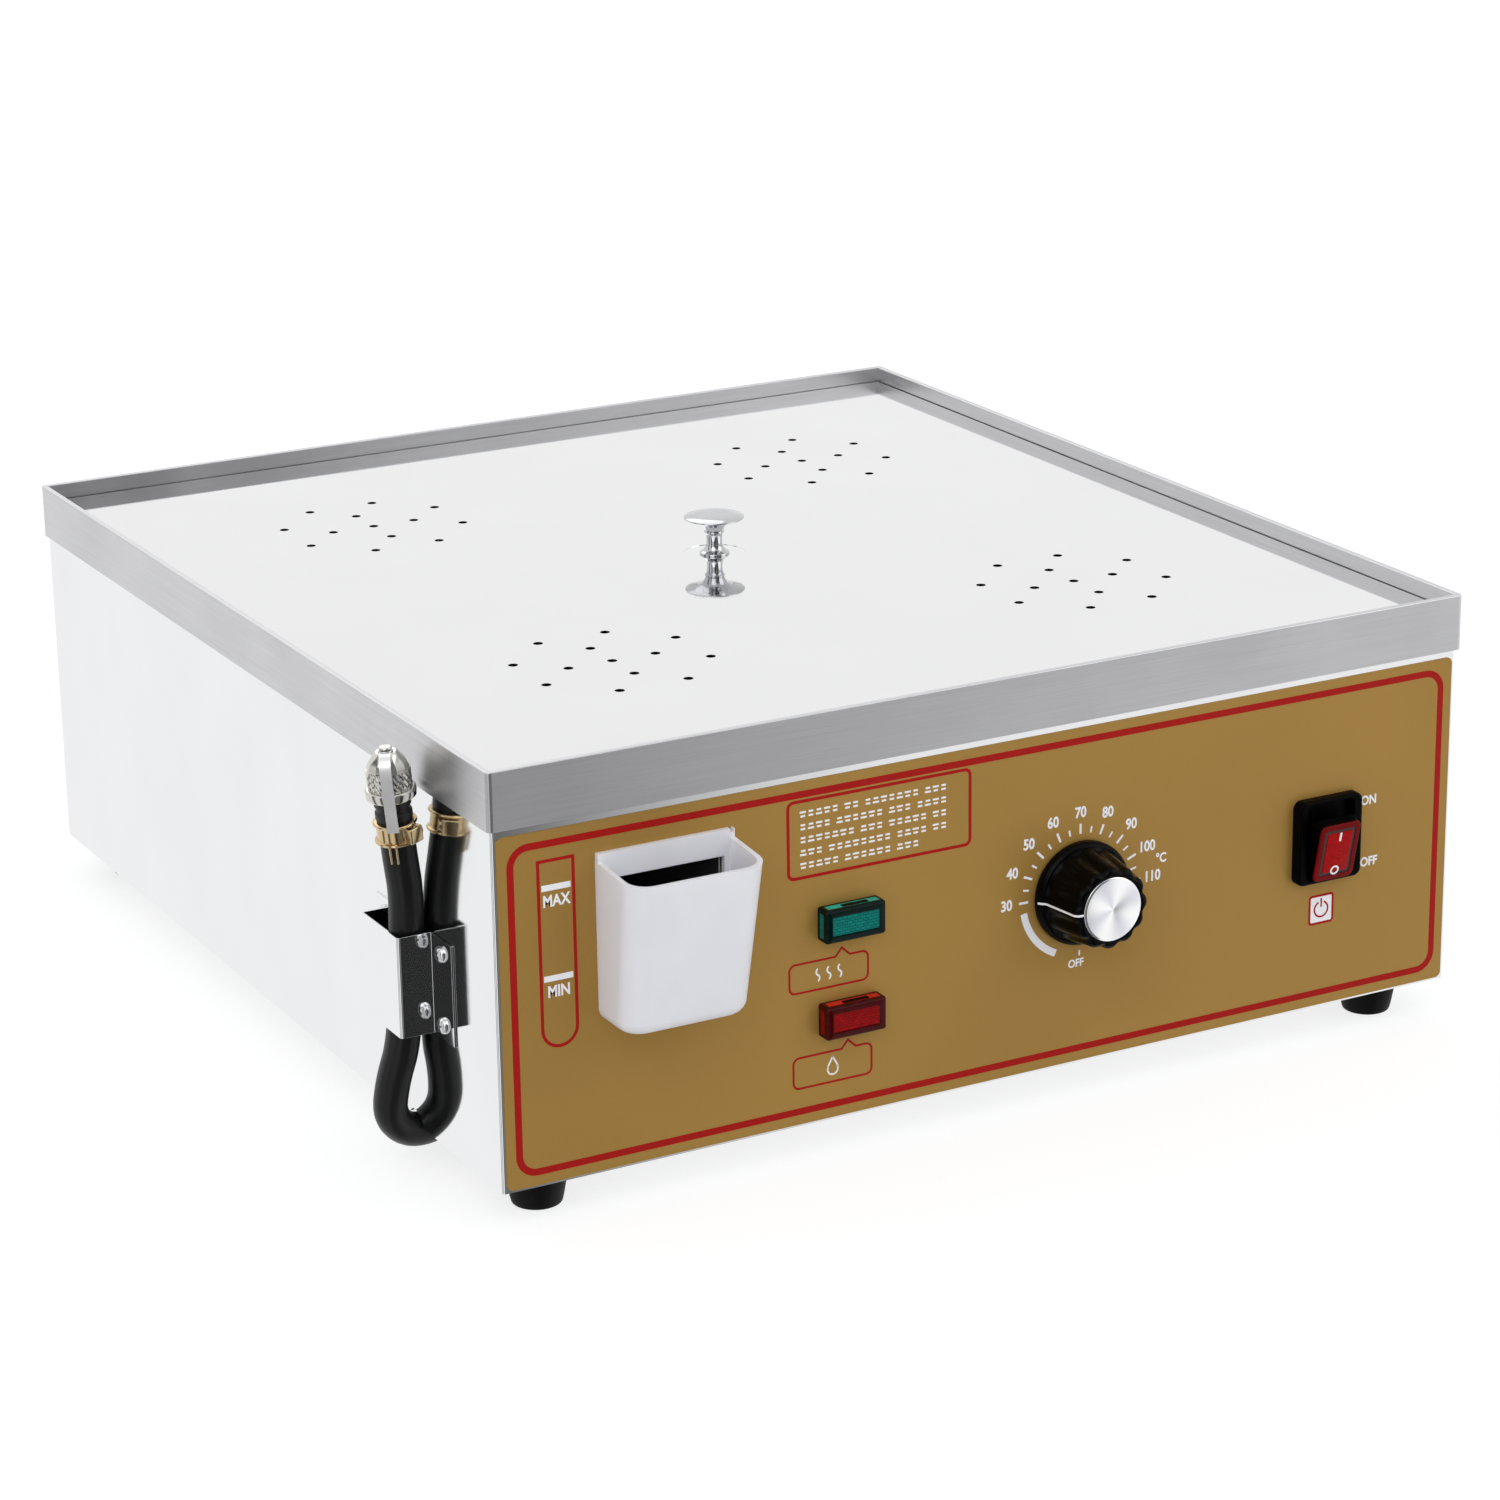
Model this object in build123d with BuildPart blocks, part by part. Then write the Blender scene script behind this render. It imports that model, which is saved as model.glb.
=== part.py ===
from build123d import *
import os
from math import cos, pi, radians, sin, tan

# Electric steamer base for dumpling baskets, millimetres.
# X to the right, Y to the back, Z up, z = 0 on the table.

os.makedirs("parts", exist_ok=True)

# Top rim and casing
rim_w = 500.0
rim_d = 538.0
rim_h = 26.4
rim_overhang = 2.0
rim_wall = 3.0
rim_sheet = 1.2
rim_corner_r = 2.5
case_h = 190.4
sheet = 1.0
case_corner_r = 1.8
foot_h = 18.0
slip = 0.3
touch = 0.1
rear_return = 16.0
flange_h = 15.0

# Steam plate and water tank
plate_drop = 8.0
plate_t = 2.0
plate_gap = 0.8
ledge_w = 14.0
control_bay = 71.0
tank_sheet = 1.2
tank_floor_z = 58.0
tank_corner_r = 20.0
tank_flange = 12.0
lip_h = 14.0
lip_gap = 1.5
cluster_x = 123.3
cluster_y = 132.9
hole_r = 2.3
inner_ring_r = 22.0
outer_ring_r = 44.75
rib_x = 50.0
rib_w = 18.0
rib_h = 8.0
rib_l = 380.0

# Lifting knob of the steam plate
pull_h = 20.0
pull_r = 14.75
pull_neck_r = 3.4
pull_base_r = 7.3
pull_rim_t = 0.9
pull_screw_r = 2.0
pull_screw_l = 10.0
pull_boss_r = 8.0
pull_boss_t = 1.0
pull_dish = 0.15
pull_dish_gap = 0.8

# Front overlay film
film_t = 0.4
film_side = 2.0
film_bottom = 1.0
film_top = 3.5
film_corner_r = 3.0

# Water fill box, its window and the duct to the tank
box_x = -167.8
box_w = 65.6
box_bottom_z = 88.0
box_rim_z = 160.6
box_back_z = 164.2
box_depth = 35.5
box_depth_low = 27.0
box_taper = 5.0
box_wall = 2.2
box_back_t = 2.8
box_floor_t = 2.6
box_corner_r = 11.0
box_floor_r = 6.0
window_w = 55.0
window_bottom_z = 98.0
window_top_z = 152.6
duct_sheet = 1.2
duct_flange = 9.0
gasket_t = 1.5
stud_r = 2.0
stud_inset = 4.0

# Pilot lamps
lamp_x = -78.5
green_lamp_z = 111.6
red_lamp_z = 66.5
lens_w = 30.2
lens_h = 15.6
lens_t = 8.0
lens_bevel = 1.8
lamp_body_w = 25.0
lamp_body_h = 11.0
lamp_body_depth = 24.0

# Thermostat and its knob
dial_x = 41.6
dial_z = 101.0
shaft_r = 3.0
shaft_flat = 1.5
running_fit = 0.05
bush_r = 5.0
thermostat_w = 46.0
thermostat_h = 48.0
thermostat_depth = 32.0
thermostat_screw_pitch = 28.0
skirt_r = 24.5
skirt_t = 5.0
grip_foot_r = 21.8
grip_r = 19.2
knob_reach = 27.0
knob_lift = 0.6
knob_hollow_r = 18.0
knob_hollow_depth = 4.0
flute_count = 12
flute_r = 6.0
flute_depth = 1.3
disc_r = 15.0
disc_t = 1.2

# Rocker switch under a rubber boot
switch_x = 175.8
switch_z = 102.4
bezel_w = 36.0
bezel_h = 41.0
bezel_t = 5.2
bezel_floor = 1.0
bezel_corner_r = 4.0
well_w = 26.0
well_h = 37.2
switch_body_w = 21.6
switch_body_h = 28.6
switch_body_depth = 24.0
switch_wall = 1.3
pivot_depth = 8.0
rocker_reach = 19.5
rocker_half_h = 14.0
rocker_half_w = 9.6
rocker_tilt = 12.5
boot_lip = 1.6
boot_flare = 1.4
boot_depth = 5.8
window_t = 0.8
pin_r = 2.0

# Drain hose, its clip and its cap
hose_od = 15.4
hose_bore = 10.0
clip_sheet = 0.9
clip_w = 38.5
clip_h = 46.5
clip_z = 93.8
clip_front = -203.7
clip_flange = 20.5
clip_screw_r = 2.0
clip_screw_pitch = 33.0
clip_bend_r = 1.6
drain_pipe_r = 7.0
elbow_reach = 16.0
barb_r = 4.9
barb_l = 12.0
notch_gap = 2.0
clamp_h = 10.0
clamp_t = 0.8
wire_r = 0.6
clamp_drop = 1.0
clamp_block = 8.0
clamp_ear = 8.0
neck_r = 8.1
neck_h = 10.0
cap_thread_r = 6.0
cap_thread_l = 9.0
cap_skirt_r = 11.1
cap_skirt_t = 4.5
cap_edge_r = 0.8
cap_grip_r = 9.7
cap_grip_h = 8.5
cap_flutes = 16
cap_flute_r = 1.1
cap_top_r = 7.2
cap_top_h = 8.0
strap_w = 5.0
strap_t = 0.8
strap_pin_r = 1.5
strap_side = (-0.47, -0.88, 0.0)

# Feet and fasteners
foot_inset_x = 27.0
foot_inset_y = 24.0
foot_nut_w = 8.0
foot_nut_h = 4.0
foot_top_r = 14.0
foot_low_r = 11.5
foot_screw_r = 2.5
foot_bore_r = 6.0
foot_bore_h = 8.0
panel_screw_r = 2.0
panel_screw_l = 8.0
rim_screw_pitch = 180.0
screw_clear = 0.25

# Rear fittings
gland_reach = 23.0
gland_bore_r = 5.0
gland_hex = 24.0
gland_thread_r = 9.5
gland_flange = 6.0
gland_inset = 58.0
gland_z = 50.0
earth_r = 3.0
earth_shank_r = 3.2
earth_shank_l = 5.0
earth_groove = 0.4
earth_thread_l = 9.0
earth_head_h = 4.0
earth_nut_w = 10.0
earth_nut_h = 4.9
earth_inset = 103.0
vent_l = 70.0
vent_w = 4.0
vent_pitch_x = 110.0
vent_pitch_z = 9.0
tray_vent_l = 44.0
tray_vent_w = 5.0
tray_vent_pitch_x = 60.0
tray_vent_pitch_y = 16.0
tray_vent_off = 40.0
block_w = 52.0
block_d = 22.0
block_h = 18.0
block_inset = 62.0
block_post_r = 3.0
block_post_pitch = 12.0
loom_r = 4.0
loom_run = 99.0
loom_bay = 35.0
loom_side = 10.0

# Blades that the wires push on to
blade_t = 0.8
blade_w = 6.3
blade_l = 9.0
blade_pitch = 9.0
lamp_blade_w = 4.8
lamp_blade_l = 8.0
lamp_clip = 2.0
thermostat_blade_pitch = 14.0

# Heater, float switch and thermostat bulb
heater_r = 4.25
heater_z = 80.0
heater_x = 130.0
heater_pitch = 80.0
heater_bend_r = 38.0
heater_front = -130.0
heater_back = 190.0
heater_stub = 24.0
float_x = 185.0
float_y = -150.0
float_r = 12.5
float_h = 15.0
float_low_z = 90.0
float_travel = 12.0
stem_r = 4.0
stem_foot = 12.0
bulb_r = 3.0
bulb_l = 110.0
bulb_z = 104.0
bulb_off = 9.0
capillary_r = 1.2
heater_nut_w = 22.0
heater_nut_h = 6.0
heater_pin_l = 8.0
float_nut_w = 14.0
float_nut_h = 5.0

# Drain hose route from the elbow to its capped end, from the case's middle
hose_points = [
    (-208.0, -174.1, 20.2),
    (-228.0, -174.8, 17.6),
    (-248.6, -176.6, 12.8),
    (-261.7, -178.9, 23.7),
    (-260.7, -182.6, 42.5),
    (-256.0, -186.6, 62.0),
    (-256.1, -191.6, 101.0),
    (-256.0, -195.9, 133.0),
    (-259.0, -197.1, 152.0),
    (-261.2, -198.3, 170.5),
]

# The case in its frame: the origin is under the middle of the whole footprint
case_w = rim_w - 2 * rim_overhang
case_d = rim_d - 2 * rim_overhang
clip_reach = hose_od + 2 * touch + slip + clip_sheet
foot_x = case_w / 2 - foot_inset_x
foot_y = case_d / 2 - foot_inset_y
gland_x = case_w / 2 - gland_inset
earth_x = case_w / 2 - earth_inset
mid_x = (case_w / 2 + clip_reach - rim_w / 2) / 2
mid_y = (film_t + box_depth - gland_reach) / 2
left_x = mid_x - case_w / 2
front_y = mid_y - case_d / 2
rear_y = mid_y + case_d / 2
base_z = foot_h
top_z = foot_h + case_h
rim_z = top_z - rim_h
plate_z = top_z - plate_drop
ledge_z = plate_z - plate_t
case_top_z = ledge_z - rim_sheet
film_y = front_y - film_t
inside_y = front_y + sheet

mouth_front = inside_y + control_bay
mouth_back = mid_y + rim_d / 2 - rim_wall - ledge_w
mouth_w = rim_w - 2 * (rim_wall + ledge_w)
mouth_d = mouth_back - mouth_front
mouth_mid = (mid_x, (mouth_front + mouth_back) / 2)
case_mid = (mid_x, mid_y)
tank_front = mouth_front - tank_sheet

window_h = window_top_z - window_bottom_z
window_place = (box_x, (window_top_z + window_bottom_z) / 2)
lamp_places = {"heating": (lamp_x, green_lamp_z), "low_water": (lamp_x, red_lamp_z)}
dial_place = (dial_x, dial_z)
switch_place = (switch_x, switch_z)

# Faces that the fittings are placed on, x measured from the case's middle
front_plane = Plane(origin=(mid_x, front_y, 0), x_dir=(1, 0, 0), z_dir=(0, -1, 0))
film_plane = Plane(origin=(mid_x, film_y, 0), x_dir=(1, 0, 0), z_dir=(0, -1, 0))
inside_plane = Plane(origin=(mid_x, inside_y, 0), x_dir=(1, 0, 0), z_dir=(0, -1, 0))
tank_plane = Plane(origin=(mid_x, tank_front, 0), x_dir=(1, 0, 0), z_dir=(0, -1, 0))
rear_plane = Plane(origin=(mid_x, rear_y, 0), x_dir=(-1, 0, 0), z_dir=(0, 1, 0))
left_plane = Plane(origin=(left_x, mid_y, 0), x_dir=(0, -1, 0), z_dir=(-1, 0, 0))

LOW = (Align.CENTER, Align.CENTER, Align.MAX)
HIGH = (Align.CENTER, Align.CENTER, Align.MIN)


def save(piece, name):
    """Name a finished piece and write its file."""
    piece.part.label = name
    export_step(piece.part, f"parts/{name}.step")


def on(plane, x, y, z=0.0):
    """The place at x, y on a plane, z along its normal."""
    return plane.location * Location((x, y, z))


def ring(width, depth, inner_w, inner_d, corner=0.0, inner_corner=0.0):
    """A rectangular ring in the open sketch, its corners round where asked."""
    if corner:
        RectangleRounded(width, depth, corner)
    else:
        Rectangle(width, depth)
    if inner_corner:
        RectangleRounded(inner_w, inner_d, inner_corner, mode=Mode.SUBTRACT)
    else:
        Rectangle(inner_w, inner_d, mode=Mode.SUBTRACT)


def pan_screws(places, radius, length):
    """Cross-recessed pan-head screws with their heads on each place's +Z side."""
    head_r = 1.9 * radius
    head_h = 1.2 * radius
    with BuildPart() as screws:
        with Locations(*places):
            Cylinder(radius, length, align=LOW)
            Cone(head_r, 0.75 * head_r, head_h, align=HIGH)
        with Locations(*[place * Location((0, 0, head_h / 2)) for place in places]):
            Box(head_r, head_r / 4, head_h, align=HIGH, mode=Mode.SUBTRACT)
            Box(head_r / 4, head_r, head_h, align=HIGH, mode=Mode.SUBTRACT)
    return screws


def hex_nuts(places, flats, height, bore):
    """Hexagon nuts standing on the +Z side of each place."""
    with BuildPart() as nuts:
        with BuildSketch(*[Plane(place) for place in places]):
            RegularPolygon(flats / 2, 6, major_radius=False)
            Circle(bore, mode=Mode.SUBTRACT)
        extrude(amount=height)
    return nuts


def bend_radii(corners, share=0.45):
    """Radii of the arcs at a route's corners, each as large as its two runs allow."""
    runs = [b - a for a, b in zip(corners, corners[1:])]
    radii = []
    for before, after in zip(runs, runs[1:]):
        half_turn = radians(before.get_angle(after)) / 2
        radii.append(share * min(before.length, after.length) / tan(half_turn))
    return radii


def arc_middle(before, corner, after, radius):
    """The middle of the arc that rounds a route's corner."""
    inward = (before - corner).normalized() + (after - corner).normalized()
    half_turn = radians(180 - (before - corner).get_angle(after - corner)) / 2
    return corner + inward.normalized() * radius * (1 / cos(half_turn) - 1)


# Places that several pieces share
stud_places = [
    (window_place[0] + sx * (window_w / 2 - stud_inset),
     window_place[1] + sz * (window_h + duct_flange + duct_sheet) / 2)
    for sx in (-1, 1) for sz in (-1, 1)
]
dial_screw_places = [
    (dial_x - thermostat_screw_pitch / 2, dial_z),
    (dial_x + thermostat_screw_pitch / 2, dial_z),
]
clip_screw_places = [
    (-y, clip_z + dz)
    for y in (clip_front - clip_flange / 2, clip_front + clip_w + clip_flange / 2)
    for dz in (-clip_screw_pitch / 2, clip_screw_pitch / 2)
]
cover_screw_places = [
    (sx * (case_w / 2 - sheet - rear_return / 2), base_z + share * (rim_z - base_z))
    for sx in (-1, 1) for share in (1 / 6, 1 / 2, 5 / 6)
]
rim_screw_places = [(x, rim_z + rim_h / 4) for x in (-rim_screw_pitch, 0.0, rim_screw_pitch)]
foot_places = [(mid_x + sx * foot_x, mid_y + sy * foot_y) for sx in (-1, 1) for sy in (-1, 1)]
gland_place = (-gland_x, gland_z)
earth_place = (-earth_x, gland_z)
bulb_place = (dial_x + thermostat_w / 4, bulb_z)
heater_xs = [heater_x - turn * heater_pitch for turn in range(4)]
leg_places = [(heater_xs[0], heater_z), (heater_xs[-1], heater_z)]

# Corners of the hose's route, the turn of the drain elbow and the hose's way through the wall
route = [Vector(mid_x + x, mid_y + y, z) for x, y, z in hose_points]
first_run = (route[1] - route[0]).normalized()
drain_turn = route[0] - first_run * elbow_reach
drain_place = (drain_turn.X, drain_turn.Y)
hose_radii = bend_radii(route)
wall_pass = arc_middle(route[1], route[2], route[3], hose_radii[1])
wall_hole = (mid_y - wall_pass.Y, wall_pass.Z)

# Casing: front and both sides bent from one sheet, with returns at the rear
with BuildPart() as casing:
    with BuildSketch(Plane.XY.offset(base_z)):
        with Locations((mid_x, mid_y - sheet / 2)):
            ring(case_w, case_d - sheet, case_w - 2 * sheet, case_d - 3 * sheet)
    extrude(amount=case_top_z - base_z)
    corners = casing.edges().filter_by(Axis.Z).group_by(Axis.Y)
    fillet(corners[0], case_corner_r)
    fillet(corners[1], case_corner_r - sheet)
    with BuildSketch(rear_plane):
        with Locations((0, (base_z + case_top_z) / 2)):
            Rectangle(case_w - 2 * (sheet + rear_return), case_top_z - base_z)
        with Locations(*cover_screw_places):
            Circle(panel_screw_r + screw_clear)
    extrude(amount=-3 * sheet, mode=Mode.SUBTRACT)
    with BuildSketch(front_plane):
        with Locations(window_place):
            Rectangle(window_w, window_h)
        with Locations(*lamp_places.values()):
            Rectangle(lamp_body_w + slip, lamp_body_h + slip)
        with Locations(switch_place):
            Rectangle(switch_body_w + slip, switch_body_h + slip)
        with Locations(dial_place):
            Circle(bush_r + screw_clear)
        with Locations(*dial_screw_places, *stud_places):
            Circle(stud_r + screw_clear)
    extrude(amount=-2 * sheet, mode=Mode.SUBTRACT)
    with BuildSketch(left_plane):
        with Locations(*clip_screw_places):
            Circle(clip_screw_r + screw_clear)
        with Locations(wall_hole):
            Circle(hose_od / 2 + notch_gap)
    extrude(amount=-2 * sheet, mode=Mode.SUBTRACT)
save(casing, "casing")

# Printed overlay film that covers the front
film_w = case_w - 2 * film_side
film_h = rim_z - film_top - (base_z + film_bottom)
film_mid_z = base_z + film_bottom + film_h / 2
with BuildPart() as front_overlay:
    with BuildSketch(front_plane):
        with Locations((0, film_mid_z)):
            RectangleRounded(film_w, film_h, film_corner_r)
        with Locations(window_place):
            Rectangle(window_w, window_h, mode=Mode.SUBTRACT)
        with Locations(*lamp_places.values()):
            Rectangle(lamp_body_w + slip, lamp_body_h + slip, mode=Mode.SUBTRACT)
        with Locations(switch_place):
            Rectangle(switch_body_w + slip, switch_body_h + slip, mode=Mode.SUBTRACT)
        with Locations(dial_place):
            Circle(bush_r + screw_clear, mode=Mode.SUBTRACT)
        with Locations(*dial_screw_places, *stud_places):
            Circle(stud_r + screw_clear, mode=Mode.SUBTRACT)
    extrude(amount=film_t)
save(front_overlay, "front_overlay")

# Rear cover with its vent slots
cover_bottom = base_z + 1.0
cover_top = rim_z + rim_h / 2
with BuildPart() as rear_cover:
    with BuildSketch(rear_plane):
        with Locations((0, (cover_bottom + cover_top) / 2)):
            Rectangle(case_w - 2 * touch, cover_top - cover_bottom)
        with Locations((0, base_z + 0.55 * case_h)):
            with GridLocations(vent_pitch_x, vent_pitch_z, 3, 6):
                SlotOverall(vent_l, vent_w, mode=Mode.SUBTRACT)
        with Locations(*cover_screw_places, *rim_screw_places):
            Circle(panel_screw_r + screw_clear, mode=Mode.SUBTRACT)
        with Locations(gland_place):
            Circle(gland_thread_r + screw_clear, mode=Mode.SUBTRACT)
        with Locations(earth_place):
            Circle(earth_shank_r + screw_clear, mode=Mode.SUBTRACT)
    extrude(amount=-sheet)
save(rear_cover, "rear_cover")

# Base tray inside the casing, open where the drain hose leaves
tray_w = case_w - 2 * sheet - 2 * touch
tray_d = case_d - 3 * sheet - 2 * touch
tray_y = mid_y - sheet / 2
slot_l = drain_turn.X - left_x + drain_pipe_r + notch_gap
slot_w = hose_od + 4 * notch_gap
with BuildPart() as base_tray:
    with BuildSketch(Plane.XY.offset(base_z)):
        with Locations((mid_x, tray_y)):
            RectangleRounded(tray_w, tray_d, case_corner_r - sheet)
    extrude(amount=flange_h)
    with BuildSketch(Plane.XY.offset(base_z + sheet)):
        with Locations((mid_x, tray_y)):
            Rectangle(tray_w - 2 * sheet, tray_d - 2 * sheet)
    extrude(amount=flange_h, mode=Mode.SUBTRACT)
    with BuildSketch(Plane.XY.offset(base_z)):
        with Locations(*foot_places):
            Circle(foot_screw_r + screw_clear)
        with Locations((left_x + slot_l / 2, (drain_turn.Y + wall_pass.Y) / 2)):
            Rectangle(slot_l, slot_w)
        with Locations((mid_x + tray_vent_off, mid_y)):
            with GridLocations(tray_vent_pitch_x, tray_vent_pitch_y, 4, 6):
                SlotOverall(tray_vent_l, tray_vent_w)
    extrude(amount=flange_h, mode=Mode.SUBTRACT)
save(base_tray, "base_tray")

# Top rim: a deep skirt, a hemmed edge and the ledge that carries the plate
with BuildPart() as top_rim:
    with BuildSketch(Plane.XY.offset(rim_z)):
        with Locations(case_mid):
            ring(rim_w, rim_d, rim_w - 2 * rim_sheet, rim_d - 2 * rim_sheet,
                 rim_corner_r, rim_corner_r - rim_sheet)
    extrude(amount=rim_h)
    with BuildSketch(Plane.XY.offset(top_z - rim_sheet)):
        with Locations(case_mid):
            ring(rim_w, rim_d, rim_w - 2 * rim_wall, rim_d - 2 * rim_wall, rim_corner_r)
    extrude(amount=rim_sheet)
    bend = rim_wall - rim_sheet
    with BuildSketch(Plane.XY.offset(case_top_z)):
        with Locations(case_mid):
            ring(rim_w - 2 * bend, rim_d - 2 * bend, rim_w - 2 * rim_wall, rim_d - 2 * rim_wall)
    extrude(amount=top_z - case_top_z)
    with BuildSketch(Plane.XY.offset(case_top_z)):
        with Locations(case_mid):
            Rectangle(rim_w - 2 * bend, rim_d - 2 * bend)
        with Locations(mouth_mid):
            RectangleRounded(mouth_w, mouth_d, tank_corner_r, mode=Mode.SUBTRACT)
    extrude(amount=rim_sheet)
    outer_top = top_rim.faces().filter_by(Axis.Z).group_by(Axis.Z)[-1].edges()
    fillet(outer_top, rim_sheet / 2)
    with BuildSketch(rear_plane):
        with Locations(*rim_screw_places):
            Circle(panel_screw_r + screw_clear)
    extrude(amount=2 * rim_overhang, mode=Mode.SUBTRACT)
save(top_rim, "top_rim")

# Water tank hung under the ledge
with BuildPart() as water_tank:
    with BuildSketch(Plane.XY.offset(tank_floor_z)):
        with Locations(mouth_mid):
            RectangleRounded(mouth_w + 2 * tank_sheet, mouth_d + 2 * tank_sheet,
                             tank_corner_r + tank_sheet)
    extrude(amount=case_top_z - tank_floor_z)
    with BuildSketch(Plane.XY.offset(case_top_z - tank_sheet)):
        with Locations(mouth_mid):
            RectangleRounded(mouth_w + 2 * tank_flange, mouth_d + 2 * tank_flange,
                             tank_corner_r)
    extrude(amount=tank_sheet)
    with BuildSketch(Plane.XY.offset(tank_floor_z + tank_sheet)):
        with Locations(mouth_mid):
            RectangleRounded(mouth_w, mouth_d, tank_corner_r)
    extrude(amount=case_top_z - tank_floor_z, mode=Mode.SUBTRACT)
    with BuildSketch(tank_plane):
        with Locations(window_place):
            Rectangle(window_w, window_h)
        with Locations(*leg_places):
            Circle(heater_r + slip)
        with Locations(bulb_place):
            Circle(bulb_r + slip)
    extrude(amount=-2 * tank_sheet, mode=Mode.SUBTRACT)
    with BuildSketch(Plane.XY.offset(tank_floor_z)):
        with Locations(drain_place):
            Circle(drain_pipe_r - 2 * tank_sheet)
        with Locations((mid_x + float_x, mid_y + float_y)):
            Circle(stem_r + screw_clear)
    extrude(amount=2 * tank_sheet, mode=Mode.SUBTRACT)
save(water_tank, "water_tank")

# Perforated steam plate with a lip that drops into the tank's mouth
plate_w = rim_w - 2 * (rim_wall + plate_gap)
plate_d = rim_d - 2 * (rim_wall + plate_gap)
lip_w = mouth_w - 2 * lip_gap
lip_d = mouth_d - 2 * lip_gap
lip_r = tank_corner_r - lip_gap
with BuildPart() as steam_plate:
    with BuildSketch(Plane.XY.offset(ledge_z)):
        with Locations(case_mid):
            Rectangle(plate_w, plate_d)
    extrude(amount=plate_t)
    with BuildSketch(Plane.XY.offset(ledge_z)):
        with Locations(mouth_mid):
            ring(lip_w, lip_d, lip_w - 2 * rim_sheet, lip_d - 2 * rim_sheet,
                 lip_r, lip_r - rim_sheet)
    extrude(amount=-lip_h)
    with BuildSketch(Plane.XY.offset(ledge_z)):
        with Locations((mid_x - rib_x, mouth_mid[1]), (mid_x + rib_x, mouth_mid[1])):
            ring(rib_w, rib_l, rib_w - 2 * rim_sheet, rib_l - 2 * rim_sheet)
    extrude(amount=-rib_h)
    with BuildSketch(Plane.XY.offset(ledge_z)):
        with Locations(case_mid):
            Circle(pull_boss_r)
    extrude(amount=-pull_boss_t)
    with BuildSketch(Plane.XY.offset(ledge_z - pull_boss_t)):
        with Locations(case_mid):
            Circle(pull_screw_r + screw_clear)
            with GridLocations(2 * cluster_x, 2 * cluster_y, 2, 2):
                Circle(hole_r)
                with PolarLocations(inner_ring_r, 4):
                    Circle(hole_r)
                with PolarLocations(outer_ring_r, 8, start_angle=22.5):
                    Circle(hole_r)
    extrude(amount=pull_boss_t + plate_t, mode=Mode.SUBTRACT)
    with BuildSketch(Plane.XY.offset(plate_z)):
        with Locations(case_mid):
            Circle(pull_r + pull_dish_gap)
    extrude(amount=-pull_dish, mode=Mode.SUBTRACT)
save(steam_plate, "steam_plate")

# Turned lifting knob at the middle of the plate
dish_z = plate_z - pull_dish
pull_plane = Plane(origin=(mid_x, mid_y, dish_z), x_dir=(1, 0, 0), z_dir=(0, -1, 0))
neck_low = 0.3 * pull_h
neck_high = 0.5 * pull_h
rim_low = pull_h - 2 * pull_rim_t
with BuildPart() as plate_knob:
    with BuildSketch(pull_plane):
        with BuildLine():
            Line((0, 0), (pull_base_r, 0))
            Line((pull_base_r, 0), (pull_base_r, pull_rim_t))
            ThreePointArc((pull_base_r, pull_rim_t), (pull_neck_r + 1.2, 0.14 * pull_h),
                          (pull_neck_r, neck_low))
            Line((pull_neck_r, neck_low), (pull_neck_r, neck_high))
            ThreePointArc((pull_neck_r, neck_high), (pull_neck_r + 2.4, 0.76 * pull_h),
                          (pull_r, rim_low))
            Line((pull_r, rim_low), (pull_r, rim_low + pull_rim_t))
            TangentArc((0, pull_h), (pull_r, rim_low + pull_rim_t), tangent=(1, 0))
            Line((0, pull_h), (0, 0))
        make_face()
    revolve(axis=Axis((mid_x, mid_y, dish_z), (0, 0, 1)))
    with Locations((mid_x, mid_y, dish_z)):
        Cylinder(pull_screw_r + running_fit, pull_screw_l, align=HIGH, mode=Mode.SUBTRACT)
save(plate_knob, "plate_knob")

under_boss = Plane(origin=(mid_x, mid_y, ledge_z - pull_boss_t), x_dir=(1, 0, 0),
                   z_dir=(0, 0, -1))
plate_knob_screw = pan_screws([under_boss.location], pull_screw_r, pull_screw_l)
save(plate_knob_screw, "plate_knob_screw")

# Open-topped fill box, narrower and shallower at its foot
box_left = box_x - box_w / 2
box_foot_w = box_w - box_taper


def box_outline(z, width, depth, corner, inset=0.0, back=0.0):
    """A plan outline at height z, flat on the panel side, its front corners round."""
    with BuildSketch(Plane(origin=(mid_x + box_left, film_y, z))) as outline:
        with BuildLine():
            FilletPolyline((inset, -back), (inset, inset - depth), (width - inset, inset - depth),
                           (width - inset, -back), radius=corner - inset)
            Line((width - inset, -back), (inset, -back))
        make_face()
    return outline.sketch.face()


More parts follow.
